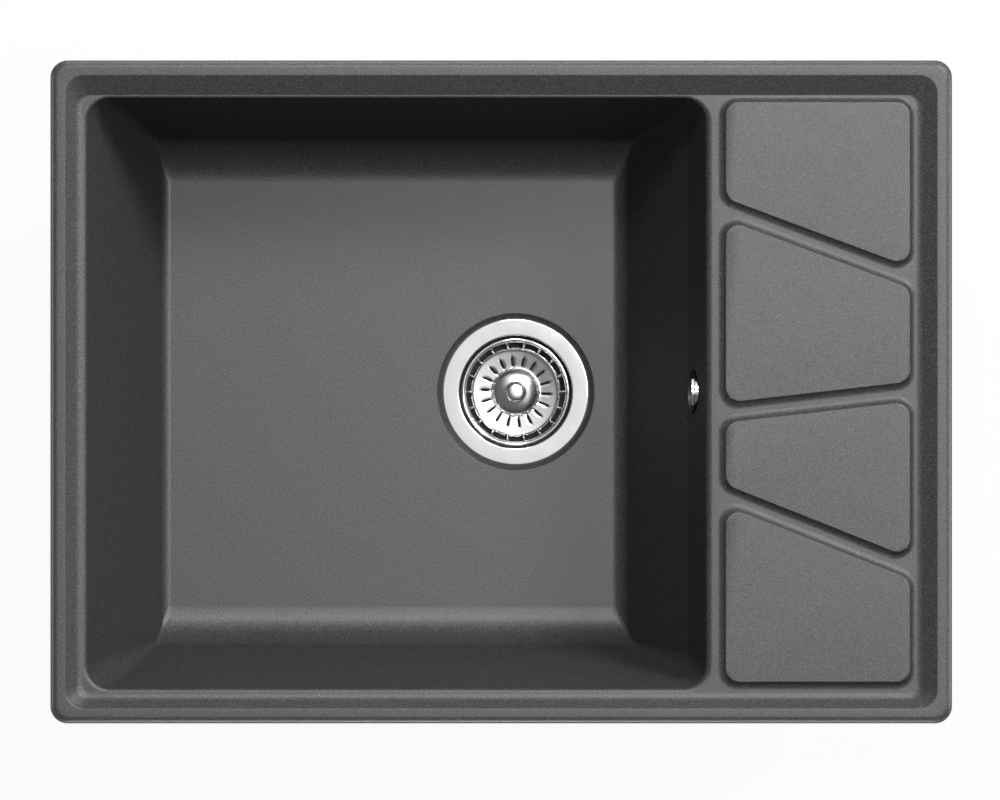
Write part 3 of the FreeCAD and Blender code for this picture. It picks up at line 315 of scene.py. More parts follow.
# %% [markdown]
# The waste is polished stainless steel. Pressed and spun steel never mirrors quite evenly, so
# fine turning lines and a faint cloud of wear change the roughness a little. The knob is
# duller, with a satin from its turning.

# %% Polished steel
steel, tree, shader = finish("polished_steel", (0.78, 0.78, 0.775), 1.0, 0.08)
cloud = noise(tree, 90.0, 3.0, 0.6)
wear = ramp(tree, cloud.outputs["Fac"], (0.3, 0.055), (0.75, 0.10))
tree.links.new(wear.outputs[0], shader.inputs["Roughness"])
brushed = noise(tree, 1500.0, 2.0, 0.6)
tone = ramp(tree, brushed.outputs["Fac"], (0.25, 0.68), (0.75, 0.73))
tree.links.new(tone.outputs[0], shader.inputs["Base Color"])
bump(tree, shader, brushed.outputs["Fac"], 0.000001, 0.08)

satin_steel, tree, shader = finish("satin_steel", (0.62, 0.62, 0.615), 1.0, 0.24)
wear = ramp(tree, noise(tree, 120.0, 3.0, 0.6).outputs["Fac"], (0.3, 0.21), (0.75, 0.28))
tree.links.new(wear.outputs[0], shader.inputs["Roughness"])
turning = noise(tree, 900.0, 2.0, 0.6, (1.0, 1.0, 8.0))
tone = ramp(tree, turning.outputs["Fac"], (0.25, 0.58), (0.75, 0.66))
tree.links.new(tone.outputs[0], shader.inputs["Base Color"])
print(steel.name, satin_steel.name)

# %% [markdown]
# The clips and their screws are zinc plated. Zinc has a dull, slightly blue spangle, made
# here with cells of different roughness.

# %% Zinc plate
zinc, tree, shader = finish("zinc_plate", (0.58, 0.6, 0.62), 1.0, 0.42)
place = tree.nodes.new("ShaderNodeTexCoord")
cells = node(tree, "ShaderNodeTexVoronoi", Scale=420.0)
tree.links.new(place.outputs["Object"], cells.inputs["Vector"])
spangle = ramp(tree, cells.outputs["Color"], (0.0, 0.34), (1.0, 0.55))
tree.links.new(spangle.outputs[0], shader.inputs["Roughness"])
mottle = noise(tree, 160.0, 3.0, 0.6)
tone = ramp(tree, mottle.outputs["Fac"], (0.3, (0.50, 0.52, 0.54)), (0.7, (0.64, 0.66, 0.68)))
tree.links.new(tone.outputs[0], shader.inputs["Base Color"])
bump(tree, shader, mottle.outputs["Fac"], 0.00003, 0.2)
print(zinc.name)

# %% [markdown]
# The pipework is moulded white plastic, which shows a soft grain from the tool and yellows
# unevenly. The seals are black rubber, dusty where they have been handled. The captive nut is
# turned brass.

# %% Plastic, rubber and brass
plastic, tree, shader = finish("moulded_white", (0.82, 0.82, 0.79), 0.0, 0.42)
grain = noise(tree, 700.0, 2.0, 0.6)
aged = noise(tree, 25.0, 3.0, 0.6)
tone = ramp(tree, aged.outputs["Fac"], (0.3, (0.80, 0.795, 0.76)), (0.7, (0.86, 0.86, 0.84)))
tree.links.new(tone.outputs[0], shader.inputs["Base Color"])
bump(tree, shader, grain.outputs["Fac"], 0.00004, 0.3)

rubber, tree, shader = finish("black_rubber", (0.02, 0.02, 0.02), 0.0, 0.7)
dust = noise(tree, 220.0, 4.0, 0.65)
tone = ramp(tree, dust.outputs["Fac"], (0.35, 0.014), (0.75, 0.04))
tree.links.new(tone.outputs[0], shader.inputs["Base Color"])
bump(tree, shader, dust.outputs["Fac"], 0.00005, 0.3)

brass, tree, shader = finish("turned_brass", (0.72, 0.55, 0.26), 1.0, 0.3)
turning = noise(tree, 900.0, 2.0, 0.6, (0.2, 0.2, 6.0))
tone = ramp(tree, turning.outputs["Fac"], (0.3, (0.62, 0.46, 0.20)), (0.7, (0.78, 0.61, 0.31)))
tree.links.new(tone.outputs[0], shader.inputs["Base Color"])
print(plastic.name, rubber.name, brass.name)

# %% [markdown]
# ## Building surfaces
# Most of this sink is a pile of rings: a rounded outline at one height, joined by a band of
# faces to the next outline at another. A pressed or moulded wall is then a list of outlines,
# and a turned part is the same thing with circles. The helpers below work in millimetres and
# hand over metres.

# %% Ring helpers
CORNER_STEPS = 14
SLIVER_AREA = 1e-11


def rounded_outline(corners, radius):
    """An anticlockwise convex outline with round corners, as (x, y) points."""
    points = []
    for index, here in enumerate(corners):
        here = Vector(here)
        arriving = (here - Vector(corners[index - 1])).normalized()
        leaving = (Vector(corners[(index + 1) % len(corners)]) - here).normalized()
        sweep = arriving.angle(leaving)
        centre = here + (leaving - arriving).normalized() * (radius / math.cos(sweep / 2))
        first = math.atan2(-arriving.x, arriving.y)
        for step in range(CORNER_STEPS + 1):
            turn = first + sweep * step / CORNER_STEPS
            points.append((centre.x + radius * math.cos(turn), centre.y + radius * math.sin(turn)))
    return points


def box_outline(left, right, front, back, radius):
    """A rounded rectangle from its four sides."""
    return rounded_outline([(right, back), (left, back), (left, front), (right, front)], radius)


def circle_outline(x, y, radius, count):
    """A circle as points, anticlockwise from +X."""
    turns = [math.tau * step / count for step in range(count)]
    return [(x + radius * math.cos(turn), y + radius * math.sin(turn)) for turn in turns]


def ring(mesh, outline, height):
    """Adds an outline to a mesh, at one height or at a height for each side of a rectangle."""
    if not isinstance(height, dict):
        return [mesh.verts.new((x * MM, y * MM, height * MM)) for x, y in outline]
    names = ("right", "back", "left", "front")
    verts = []
    for index, (x, y) in enumerate(outline):
        corner, step = divmod(index, CORNER_STEPS + 1)
        share = step / CORNER_STEPS
        z = height[names[corner]] * (1 - share) + height[names[(corner + 1) % 4]] * share
        verts.append(mesh.verts.new((x * MM, y * MM, z * MM)))
    return verts


def bridge(mesh, one, other):
    """Joins two rings of the same length with a band of faces."""
    count = len(one)
    for index in range(count):
        after = (index + 1) % count
        mesh.faces.new((one[index], one[after], other[after], other[index]))


def pile(mesh, levels):
    """Bridges a list of (outline, height) levels, and returns the first and last ring."""
    rings = [ring(mesh, outline, height) for outline, height in levels]
    for one, other in zip(rings, rings[1:]):
        bridge(mesh, one, other)
    return rings[0], rings[-1]


def fill(mesh, *rings):
    """Fills a level face whose outer edge and holes are rings."""
    edges = []
    for one in rings:
        for index, vert in enumerate(one):
            after = one[(index + 1) % len(one)]
            edge = mesh.edges.get((vert, after)) or mesh.edges.new((vert, after))
            edges.append(edge)
    bmesh.ops.triangle_fill(mesh, use_beauty=True, use_dissolve=False, edges=edges,
                            normal=(0, 0, 1))
    slivers = [face for face in mesh.faces if face.calc_area() < SLIVER_AREA]
    bmesh.ops.delete(mesh, geom=slivers, context="FACES")


def open_edges(mesh):
    """How many edges don't have a face on both sides."""
    return sum(1 for edge in mesh.edges if len(edge.link_faces) != 2)


def piece(name, mesh, material):
    """Turns a bmesh into an object with outward normals and its material."""
    bmesh.ops.recalc_face_normals(mesh, faces=mesh.faces)
    data = bpy.data.meshes.new(name)
    mesh.to_mesh(data)
    mesh.free()
    data.materials.append(material)
    made = bpy.data.objects.new(name, data)
    bpy.context.scene.collection.objects.link(made)
    return made


def settled(made, *modifiers):
    """Applies modifiers, then evens the normals so that flat faces stay flat."""
    for kind, values in modifiers:
        added = made.modifiers.new(kind.lower(), kind)
        for key, value in values.items():
            setattr(added, key, value)
    made.data.shade_smooth()
    evener = made.modifiers.new("even", "WEIGHTED_NORMAL")
    evener.keep_sharp = True
    graph = bpy.context.evaluated_depsgraph_get()
    plain = bpy.data.meshes.new_from_object(made.evaluated_get(graph), depsgraph=graph)
    made.modifiers.clear()
    made.data = plain
    return made


print("corner steps:", CORNER_STEPS)

# %% [markdown]
# ## The moulding
# One closed skin goes from the waste hole over the bowl's floor, up its walls, across the
# ledge and the rim, down the outside and back under the bowl to the waste hole. It is built
# on the sizes of the engineering model, and adds what that leaves plain: the soft hollow at
# the foot of the slope, the rounds where the floor turns up into the walls, and fine rounds
# on every edge.

# %% Sizes of the moulding
RIM = {"left": -340.0, "right": 340.0, "front": -250.0, "back": 250.0}
RIM_CORNER, RIM_ROUND = 13.0, 5.5
BASIN_TOP = {"left": -329.0, "right": 329.0, "front": -239.0, "back": 239.0}
BASIN_FOOT = {"left": -316.0, "right": 312.8, "front": -226.8, "back": 223.6}
HOLLOW = {"left": 5.4, "right": 6.0, "front": 6.0, "back": 0.8}
FOOT_CORNER, TOP_CORNER, HOLLOW_GAIN, SLOPE_GAIN = 8.0, 14.0, 2.5, 3.5
LIP = {"left": -313.0, "right": 155.0, "front": -224.0, "back": 222.0}
BREAK = {"left": -296.0, "right": 142.0, "front": -213.2, "back": 211.5}
FOOT = {"left": -257.4, "right": 93.5, "front": -188.5, "back": 187.6}
BREAK_DEPTH, FLOOR_DEPTH = -58.0, -190.0
LIP_ROUND = {"left": 3.9, "right": 5.5, "front": 3.3, "back": 1.8}
BOWL_CORNER, LIP_GAIN = 17.0, 3.0
WALL, SHELL_CORNER = 8.5, 24.0
FLOOR_ROUND = {"left": 8.0, "right": 12.5, "front": 31.0, "back": 34.0}
FLOOR_CORNER, FLOOR_STEPS = 3.5, 22
WASTE_X = 11.0
HOLE, RECESS, RECESS_FLOOR, BOSS, BOSS_DEPTH = 45.0, 59.3, -192.4, 62.0, -203.0
BODY = {"left": -328.0, "right": 328.0, "front": -238.0, "back": 238.0}
BODY_CORNER, DECK_BOTTOM, OUTER_FLOOR = 8.0, -9.0, -200.0
SIDES = ("left", "right", "front", "back")
OUT = {"left": -1, "right": 1, "front": -1, "back": 1}


def sides(edge, radius, out=0.0):
    """A rounded rectangle from named sides, grown outwards by one distance or one a side."""
    if not isinstance(out, dict):
        out = dict.fromkeys(SIDES, out)
    return box_outline(*(edge[side] + OUT[side] * out[side] for side in SIDES), radius)


def between(one, other, share):
    """Sides part of the way from one set to the other."""
    return {side: one[side] + (other[side] - one[side]) * share for side in SIDES}


def each(rule):
    """A value for each side."""
    return {side: rule(side) for side in SIDES}


print("bowl, mm:", LIP["right"] - LIP["left"], "by", LIP["back"] - LIP["front"])

# %% [markdown]
# The drainboard has four raised pads with rain channels between them. Each pad is a rounded
# four-sided plateau. Its side is hollow in section, steepest at the top edge, so that two pads
# make a soft U between them. Every pad keeps its own distance from the slope, the bowl's
# lip and the next channel, so each of its sides moves in by its own amount.

# %% Pads
PAD_LEFT, PAD_RIGHT, PAD_FRONT, PAD_BACK = 165.6, 312.2, -222.5, 222.6
CHANNELS = [(143.24, 88.54), (135.56, 80.86), (-12.48, 4.22), (-19.72, -3.02), (-72.63, -130.93),
            (-80.37, -138.67)]
PAD_EDGES = [(CHANNELS[0], (PAD_BACK, PAD_BACK)), (CHANNELS[2], CHANNELS[1]),
             (CHANNELS[4], CHANNELS[3]), ((PAD_FRONT, PAD_FRONT), CHANNELS[5])]
PAD_HEIGHT, PAD_RUN, PAD_RISE = 4.1, 4.2, 2.3
FOOT_OUT, FOOT_OUT_RIGHT, FOOT_OUT_BACK = 2.4, 0.4, 0.8
PAD_FOOT_CORNER, PAD_TOP_CORNER = 15.0, 9.0
PAD_STEPS = 12


def inset(corners, distances):
    """Moves each side of a convex outline inwards by its own distance."""
    lines = []
    for index, here in enumerate(corners):
        here = Vector(here)
        along = (Vector(corners[(index + 1) % len(corners)]) - here).normalized()
        lines.append((here + Vector((-along.y, along.x)) * distances[index], along))
    moved = []
    for index, (point, along) in enumerate(lines):
        before, back = lines[index - 1]
        reach = (before - point).cross(back) / along.cross(back)
        moved.append(tuple(point + along * reach))
    return moved


def pad_levels(lower, upper):
    """A pad's outlines from its foot to its top, between its lower and upper edge."""
    corners = [(PAD_LEFT, lower[0]), (PAD_RIGHT, lower[1]), (PAD_RIGHT, upper[1]),
               (PAD_LEFT, upper[0])]
    top_out = FOOT_OUT_BACK if upper == (PAD_BACK, PAD_BACK) else FOOT_OUT
    feet = (-FOOT_OUT, -FOOT_OUT_RIGHT, -top_out, -FOOT_OUT)
    levels = []
    for step in range(PAD_STEPS + 1):
        share = step / PAD_STEPS
        moved = [foot + (PAD_RUN - foot) * share for foot in feet]
        height = PAD_HEIGHT * share ** PAD_RISE
        radius = PAD_FOOT_CORNER + (PAD_TOP_CORNER - PAD_FOOT_CORNER) * share
        levels.append((rounded_outline(inset(corners, moved), radius), height))
    return levels


print("pads:", len(PAD_EDGES))

# %% [markdown]
# The slope below the rim is straight at the top and hollow at its foot. Its angle follows
# from the drop of 8 mm, the run on each side and the run of the hollow.

# %% Slope and rim
skin = bmesh.new()
ARC_STEPS = 9
STRAIGHT_ROWS, EDGE_SOFT = (0.9, 0.97), 0.35
RIM_CORNER_SHARE, RIM_LOWER_ROUND, BODY_ROUND = 0.6, 0.5, 0.6
LEAST_ANGLE, MOST_ANGLE, HALVINGS = 0.1, 1.2, 40


def slope_angle(side):
    """The angle at which hollow and straight part together climb to the rim."""
    run = abs(BASIN_TOP[side] - BASIN_FOOT[side])
    low_angle, high_angle = LEAST_ANGLE, MOST_ANGLE
    for _ in range(HALVINGS):
        angle = (low_angle + high_angle) / 2
        climbed = HOLLOW[side] * math.tan(angle / 2) + (run - HOLLOW[side]) * math.tan(angle)
        if climbed < RIM_TOP:
            low_angle = angle
        else:
            high_angle = angle
    return angle


SLOPE = each(slope_angle)
top_levels = []
for step in range(ARC_STEPS + 1):
    share = step / ARC_STEPS
    tilt = each(lambda side: math.asin(share * math.sin(SLOPE[side])))
    rise = each(lambda side: HOLLOW[side] / math.sin(SLOPE[side]) * (1 - math.cos(tilt[side])))
    out = each(lambda side: HOLLOW[side] * share)
    top_levels.append((sides(BASIN_FOOT, FOOT_CORNER + HOLLOW_GAIN * share, out), rise))
start_rise = top_levels[-1][1]
hollow_edge = each(lambda side: BASIN_FOOT[side] + OUT[side] * HOLLOW[side])
for share in STRAIGHT_ROWS:
    corner = FOOT_CORNER + HOLLOW_GAIN + SLOPE_GAIN * share
    top_levels.append((sides(between(hollow_edge, BASIN_TOP, share), corner),
                       each(lambda side: start_rise[side] + (RIM_TOP - start_rise[side]) * share)))
top_levels.append((sides(BASIN_TOP, TOP_CORNER, EDGE_SOFT), RIM_TOP))
for step in range(ARC_STEPS + 1):
    turn = math.pi / 2 * step / ARC_STEPS
    inward = RIM_ROUND * (1 - math.sin(turn))
    top_levels.append((sides(RIM, RIM_CORNER - RIM_CORNER_SHARE * inward, -inward),
                       RIM_TOP - RIM_ROUND * (1 - math.cos(turn))))
top_levels += [(sides(RIM, RIM_CORNER), RIM_LOWER_ROUND),
               (sides(RIM, RIM_CORNER - RIM_LOWER_ROUND, -RIM_LOWER_ROUND), 0.0),
               (sides(BODY, BODY_CORNER), 0.0), (sides(BODY, BODY_CORNER), DECK_BOTTOM + BODY_ROUND),
               (sides(BODY, BODY_CORNER - BODY_ROUND, -BODY_ROUND), DECK_BOTTOM)]
basin_foot, deck_edge = pile(skin, top_levels)
print("slope, degrees:", {side: round(math.degrees(angle)) for side, angle in SLOPE.items()})

# %% [markdown]
# The bowl's lip rolls over into walls that lean in by ten to sixteen degrees, and the floor
# turns up into them in a round that is wide at the front and back and narrow at the sides. All
# four rounds are cut at the same heights, so that they meet in clean mitres at the corners.

# %% Bowl
BREAK_SOFT, BREAK_OUT, BREAK_ON = 3.0, 0.2, 0.02
lip_levels = []
wall_angle = each(lambda side: math.atan2(-BREAK_DEPTH, abs(LIP[side] - BREAK[side])))
for step in range(ARC_STEPS + 1):
    share = step / ARC_STEPS
    out = each(lambda side: LIP_ROUND[side] * (math.tan(wall_angle[side] / 2)
                                               - math.sin(wall_angle[side] * share)))
    drop = each(lambda side: -LIP_ROUND[side] * (1 - math.cos(wall_angle[side] * share)))
    lip_levels.append((sides(LIP, BOWL_CORNER + LIP_GAIN * (1 - share), out), drop))
lip_levels.append((sides(BREAK, BOWL_CORNER, BREAK_OUT), BREAK_DEPTH + BREAK_SOFT))
lip_levels.append((sides(between(BREAK, FOOT, BREAK_ON), BOWL_CORNER), BREAK_DEPTH - BREAK_SOFT))
lean = each(lambda side: abs(BREAK[side] - FOOT[side]) / (BREAK_DEPTH - FLOOR_DEPTH))
steepness = each(lambda side: math.pi / 2 - math.atan(lean[side]))


def floor_inset(side, rise):
    """How far the bowl's surface stands inwards from the wall's foot, at a height above the floor."""
    radius, angle = FLOOR_ROUND[side], steepness[side]
    if rise >= radius * (1 - math.cos(angle)):
        return -rise * lean[side]
    tilt = math.acos(1 - rise / radius)
    return radius * (math.tan(angle / 2) - math.sin(tilt))


print("walls, degrees:", {side: round(math.degrees(angle)) for side, angle in steepness.items()})

# %% Rounds at the bowl's floor
STEEPEST, STEP_BIAS = 80, 1.25
widest = max(FLOOR_ROUND.values())
for step in range(FLOOR_STEPS + 1):
    tilt = math.radians(STEEPEST * (1 - step / FLOOR_STEPS) ** STEP_BIAS)
    rise = widest * (1 - math.cos(tilt))
    inward = each(lambda side: -floor_inset(side, rise))
    lip_levels.append((sides(FOOT, FLOOR_CORNER, inward), FLOOR_DEPTH + rise))
lip_edge, floor_edge = pile(skin, lip_levels)
print("rounds at the floor, mm:", FLOOR_ROUND)

# %% [markdown]
# The deck is what is left between the slope, the bowl's lip and the feet of the pads. It is
# flat, so one fill between those outlines makes it, and each pad's top is a fill too. The waste
# sits in a round recess with a chamfered edge, which shows as the dark ring round the flange.

# %% Deck and pads
pad_feet = []
for lower, upper in PAD_EDGES:
    foot, top = pile(skin, pad_levels(lower, upper))
    pad_feet.append(foot)
    fill(skin, top)
fill(skin, basin_foot, lip_edge, *pad_feet)
print("pads on the deck:", len(pad_feet))

# %% Recess and underside
ROUND_STEPS = 128


def waste_circle(radius):
    """A circle about the waste's axis."""
    return circle_outline(WASTE_X, 0.0, radius, ROUND_STEPS)


RECESS_PROFILE = [(RECESS + 0.9, FLOOR_DEPTH), (RECESS + 0.4, FLOOR_DEPTH - 0.12),
                  (RECESS, FLOOR_DEPTH - 0.5), (RECESS - 2.6, RECESS_FLOOR - 0.5),
                  (RECESS - 3.4, RECESS_FLOOR - 0.7), (RECESS - 4.6, RECESS_FLOOR - 0.3),
                  (RECESS - 5.2, RECESS_FLOOR), (HOLE + 0.4, RECESS_FLOOR),
                  (HOLE, RECESS_FLOOR - 0.4), (HOLE, BOSS_DEPTH), (BOSS - 0.5, BOSS_DEPTH),
                  (BOSS, BOSS_DEPTH + 0.5), (BOSS, OUTER_FLOOR)]
recess_edge, boss_edge = pile(skin, [(waste_circle(radius), depth)
                                     for radius, depth in RECESS_PROFILE])
fill(skin, floor_edge, recess_edge)

shell_top = between(LIP, BREAK, DECK_BOTTOM / BREAK_DEPTH)
SHELL_PROFILE = [(shell_top, 0.0, 1.5, DECK_BOTTOM), (shell_top, 0.0, 0.4, DECK_BOTTOM - 1.0),
                 (BREAK, 0.0, 0.0, BREAK_DEPTH), (FOOT, 0.0, -0.4, OUTER_FLOOR + 2.0),
                 (FOOT, 1.0, -1.2, OUTER_FLOOR + 0.6), (FOOT, 2.0, -2.6, OUTER_FLOOR)]
shell_edge, bottom_edge = pile(skin, [(sides(edge, SHELL_CORNER - tighter, WALL + out), depth)
                                      for edge, tighter, out, depth in SHELL_PROFILE])
fill(skin, deck_edge, shell_edge)
fill(skin, bottom_edge, boss_edge)
print("skin faces:", len(skin.faces), "open edges:", open_edges(skin))
sink_skin = piece("sink_skin", skin, stone)

# %% [markdown]
# Six lugs under the deck take the clip screws, and a boss behind the right wall carries the
# overflow, with a flat land sunk into the wall for its cover. These are added and cut with
# Boolean modifiers, because they cross the wall at odd angles, where rings would be awkward.

# %% Lugs and overflow seat
OVERFLOW_Z, LAND_X, SEAT_X = -43.0, 149.3, 159.3
LAND_RADIUS, SEAT_RADIUS, OVERFLOW_HOLE = 17.0, 22.0, 11.5
LUG_HALF, LUG_ROUND, LUG_BOTTOM, LUG_LEAN = 12, 1.2, -46.0, 4.6
LUG_REACH_Y, LUG_EDGE_Y, LUG_REACH_X, LUG_EDGE_X = 220, 237.9, 310, 327.9
SCREW_HOLE, SCREW_START, SCREW_END = 2.6, -50.0, -34.0
LAND_CUT_START, HOLE_CUT_END = 138.0, 165.0
DRUM_STEPS, SCREW_STEPS = 96, 32
CLIP_PLACES = [(-205, 232), (205, 232), (322, 0), (205, -232), (-205, -232), (-322, 0)]


def drum(mesh, start, end, radius, count=DRUM_STEPS):
    """A cylinder between two points, in millimetres."""
    start, end = Vector(start), Vector(end)
    aim = (end - start).to_track_quat("Z", "Y").to_matrix().to_4x4()
    place = Matrix.Translation((start + end) / 2 * MM) @ aim
    bmesh.ops.create_cone(mesh, cap_ends=True, segments=count, radius1=radius * MM,
                          radius2=radius * MM, depth=(end - start).length * MM, matrix=place)


def lug_outline(x, y, back_off):
    """A lug between the bowl's shell and the deck's edge, about a clip screw at (x, y)."""
    middle, reach, edge = (y, LUG_REACH_Y, LUG_EDGE_Y) if y else (x, LUG_REACH_X, LUG_EDGE_X)
    near, far = sorted((math.copysign(reach + back_off, middle), math.copysign(edge, middle)))
    if y:
        return box_outline(x - LUG_HALF, x + LUG_HALF, near, far, LUG_ROUND)
    return box_outline(near, far, -LUG_HALF, LUG_HALF, LUG_ROUND)


added, cut = bmesh.new(), bmesh.new()
for x, y in CLIP_PLACES:
    bottom, top = pile(added, [(lug_outline(x, y, 0.0), LUG_BOTTOM),
                               (lug_outline(x, y, LUG_LEAN), DECK_BOTTOM + 1.0)])
    added.faces.new(reversed(bottom))
    added.faces.new(top)
    drum(cut, (x, y, SCREW_START), (x, y, SCREW_END), SCREW_HOLE, SCREW_STEPS)
drum(added, (LAND_X + 1.0, 0, OVERFLOW_Z), (SEAT_X, 0, OVERFLOW_Z), SEAT_RADIUS)
drum(cut, (LAND_CUT_START, 0, OVERFLOW_Z), (LAND_X, 0, OVERFLOW_Z), LAND_RADIUS)
drum(cut, (LAND_X - 1.0, 0, OVERFLOW_Z), (HOLE_CUT_END, 0, OVERFLOW_Z), OVERFLOW_HOLE)
extra, holes = piece("added", added, stone), piece("cut", cut, stone)
settled(sink_skin, ("BOOLEAN", {"operation": "UNION", "object": extra}),
        ("BOOLEAN", {"operation": "DIFFERENCE", "object": holes, "use_self": True}))
for helper in (extra, holes):
    bpy.data.objects.remove(helper)
print("moulding faces:", len(sink_skin.data.polygons))

# %% [markdown]
# ## The basket waste
# What repeats here goes round the waste's axis: eighteen windows, eighteen slots and the four
# spokes of the cup. One Geometry Nodes tree turns a single sector into the whole ring. It puts
# a point for each copy on the axis, turns each copy by its share of the circle, and merges
# the seams.

# %% A tree that repeats a sector round the axis
SEAM_GAP = 0.00002
around = bpy.data.node_groups.new("around_the_waste", "GeometryNodeTree")
face = around.interface
face.new_socket("Sector", in_out="INPUT", socket_type="NodeSocketGeometry")
sockets = {"Copies": face.new_socket("Copies", in_out="INPUT", socket_type="NodeSocketInt"),
           "Centre": face.new_socket("Centre", in_out="INPUT", socket_type="NodeSocketVector"),
           "Finish": face.new_socket("Finish", in_out="INPUT", socket_type="NodeSocketMaterial")}
face.new_socket("Ring", in_out="OUTPUT", socket_type="NodeSocketGeometry")
given, made = around.nodes.new("NodeGroupInput"), around.nodes.new("NodeGroupOutput")
points = around.nodes.new("GeometryNodePoints")
copies = around.nodes.new("GeometryNodeInstanceOnPoints")
index = around.nodes.new("GeometryNodeInputIndex")
share = around.nodes.new("ShaderNodeMath")
share.operation = "DIVIDE"
turn = around.nodes.new("ShaderNodeMath")
turn.operation = "MULTIPLY"
turn.inputs[1].default_value = math.tau
spin = around.nodes.new("ShaderNodeCombineXYZ")
real = around.nodes.new("GeometryNodeRealizeInstances")
seam = around.nodes.new("GeometryNodeMergeByDistance")
seam.inputs["Distance"].default_value = SEAM_GAP
coat = around.nodes.new("GeometryNodeSetMaterial")
for one, other in ((given.outputs["Copies"], points.inputs["Count"]),
                   (given.outputs["Centre"], points.inputs["Position"]),
                   (points.outputs[0], copies.inputs["Points"]),
                   (given.outputs["Sector"], copies.inputs["Instance"]),
                   (index.outputs[0], share.inputs[0]),
                   (given.outputs["Copies"], share.inputs[1]),
                   (share.outputs[0], turn.inputs[0]),
                   (turn.outputs[0], spin.inputs["Z"]),
                   (spin.outputs[0], copies.inputs["Rotation"]),
                   (copies.outputs[0], real.inputs[0]),
                   (real.outputs[0], seam.inputs["Geometry"]),
                   (seam.outputs[0], coat.inputs["Geometry"]),
                   (given.outputs["Finish"], coat.inputs["Material"]),
                   (coat.outputs[0], made.inputs[0])):
    around.links.new(one, other)
print("tree nodes:", len(around.nodes))

# %% Helpers for what goes round the axis
TURN_STEPS, HUB_STEPS = 96, 48


def repeated(sector, copies_made, material, *modifiers):
    """Repeats a sector round the waste's axis and leaves a plain mesh."""
    maker = sector.modifiers.new("around", "NODES")
    maker.node_group = around
    values = {"Copies": copies_made, "Centre": (WASTE_X * MM, 0.0, 0.0), "Finish": material}
    for name, value in values.items():
        maker[sockets[name].identifier] = value
    return settled(sector, *modifiers)


def turned(mesh, profile, closed=True, count=TURN_STEPS):
    """Turns (radius, height) pairs about the waste's axis; a last radius of 0 is one point."""
    rings = []
    for radius, height in profile:
        if radius:
            rings.append(ring(mesh, circle_outline(WASTE_X, 0.0, radius, count), height))
        else:
            rings.append([mesh.verts.new((WASTE_X * MM, 0, height * MM))])
    pairs = list(zip(rings, rings[1:])) + ([(rings[-1], rings[0])] if closed else [])
    for one, other in pairs:
        if len(other) > 1:
            bridge(mesh, one, other)
        else:
            for at in range(count):
                mesh.faces.new((one[at], one[(at + 1) % count], other[0]))


print("waste axis, mm:", WASTE_X)

# %% [markdown]
# The flange is one pressing: a flat polished ring with a rolled mouth, running down into a
# cup. Four spokes cross the cup's foot to a hub that takes the centre screw.

# %% Flange and cup
flange = bmesh.new()
turned(flange, [(43.5, -222.0), (43.5, -196.0), (42.9, -194.2), (42.9, -192.4), (43.05, -191.75),
                (43.4, -191.35), (44.0, -191.2), (54.6, -191.2), (55.25, -191.3), (55.62, -191.6),
                (55.7, -192.0), (55.5, -192.4), (45.6, -192.4), (44.9, -192.7), (44.7, -193.6),
                (44.7, -222.2), (43.7, -222.2)])
turned(flange, [(6.4, -221.2), (6.6, -221.0), (8.8, -221.0), (9.0, -221.2), (9.0, -222.0),
                (8.8, -222.2), (6.6, -222.2), (6.4, -222.0)], count=HUB_STEPS)
waste_ring = settled(piece("waste_ring", flange, steel))
SPOKES, SPOKE_START, SPOKE_END, SPOKE_HALF, SPOKE_CORNER = 4, 8.6, 44.1, 3.5, 0.3
SPOKE_FOOT, SPOKE_TOP = -222.2, -221.0
arm = bmesh.new()
level = box_outline(SPOKE_START, SPOKE_END, -SPOKE_HALF, SPOKE_HALF, SPOKE_CORNER)
bottom, top = pile(arm, [(level, SPOKE_FOOT), (level, SPOKE_TOP)])
arm.faces.new(reversed(bottom))
arm.faces.new(top)
spokes = repeated(piece("cup_spokes", arm, steel), SPOKES, steel)
for made in (waste_ring, spokes):
    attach(made, "sink")
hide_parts("waste_flange")
print("flange faces:", len(waste_ring.data.polygons), "spokes:", len(spokes.data.polygons))

# %% [markdown]
# The basket is pressed from thin sheet. Its floor is dished: it climbs outwards by about seven
# degrees, so it is bright where it faces the lit side of the room and dark opposite. The holes
# are left out of the sector's grid, whose lines are laid along their edges, which keeps the
# sheet clean for the Solidify modifier.

# %% Basket's grid
WINDOWS, SHEET = 18, 0.6
SECTOR = math.tau / WINDOWS
SLOT_TURN, SLOT_HALF, SLOT_END = math.radians(16), 0.85, 0.7
ACROSS_SLOT = (-1, -0.55, 0, 0.55, 1)
WALL_TURNS = [math.radians(turn) for turn in (0, 2, 5, 8, 11, 14, 16.5, 18, 20)]
SLOT_COLUMNS, WINDOW_COLUMNS = (3, 7), (1, 7)
SLOT_ROWS, WINDOW_ROWS = (3, 7), (13, 16)
BLEND_FROM, BLEND_OVER, PLAIN_COLUMN = 28.0, 5.0, 0.2
BASKET_ROWS = [(4.6, -208.0), (12.0, -208.0), (17.5, -208.0), (20.0, -207.85), (21.2, -207.7),
               (23.2, -207.45), (25.2, -207.2), (26.4, -207.05), (28.5, -206.8), (30.5, -206.55),
               (31.8, -206.35), (32.7, -206.0), (33.2, -205.4), (33.5, -204.6), (35.2, -201.0),
               (37.3, -196.6), (37.7, -195.8), (38.0, -195.2), (38.6, -194.2)]


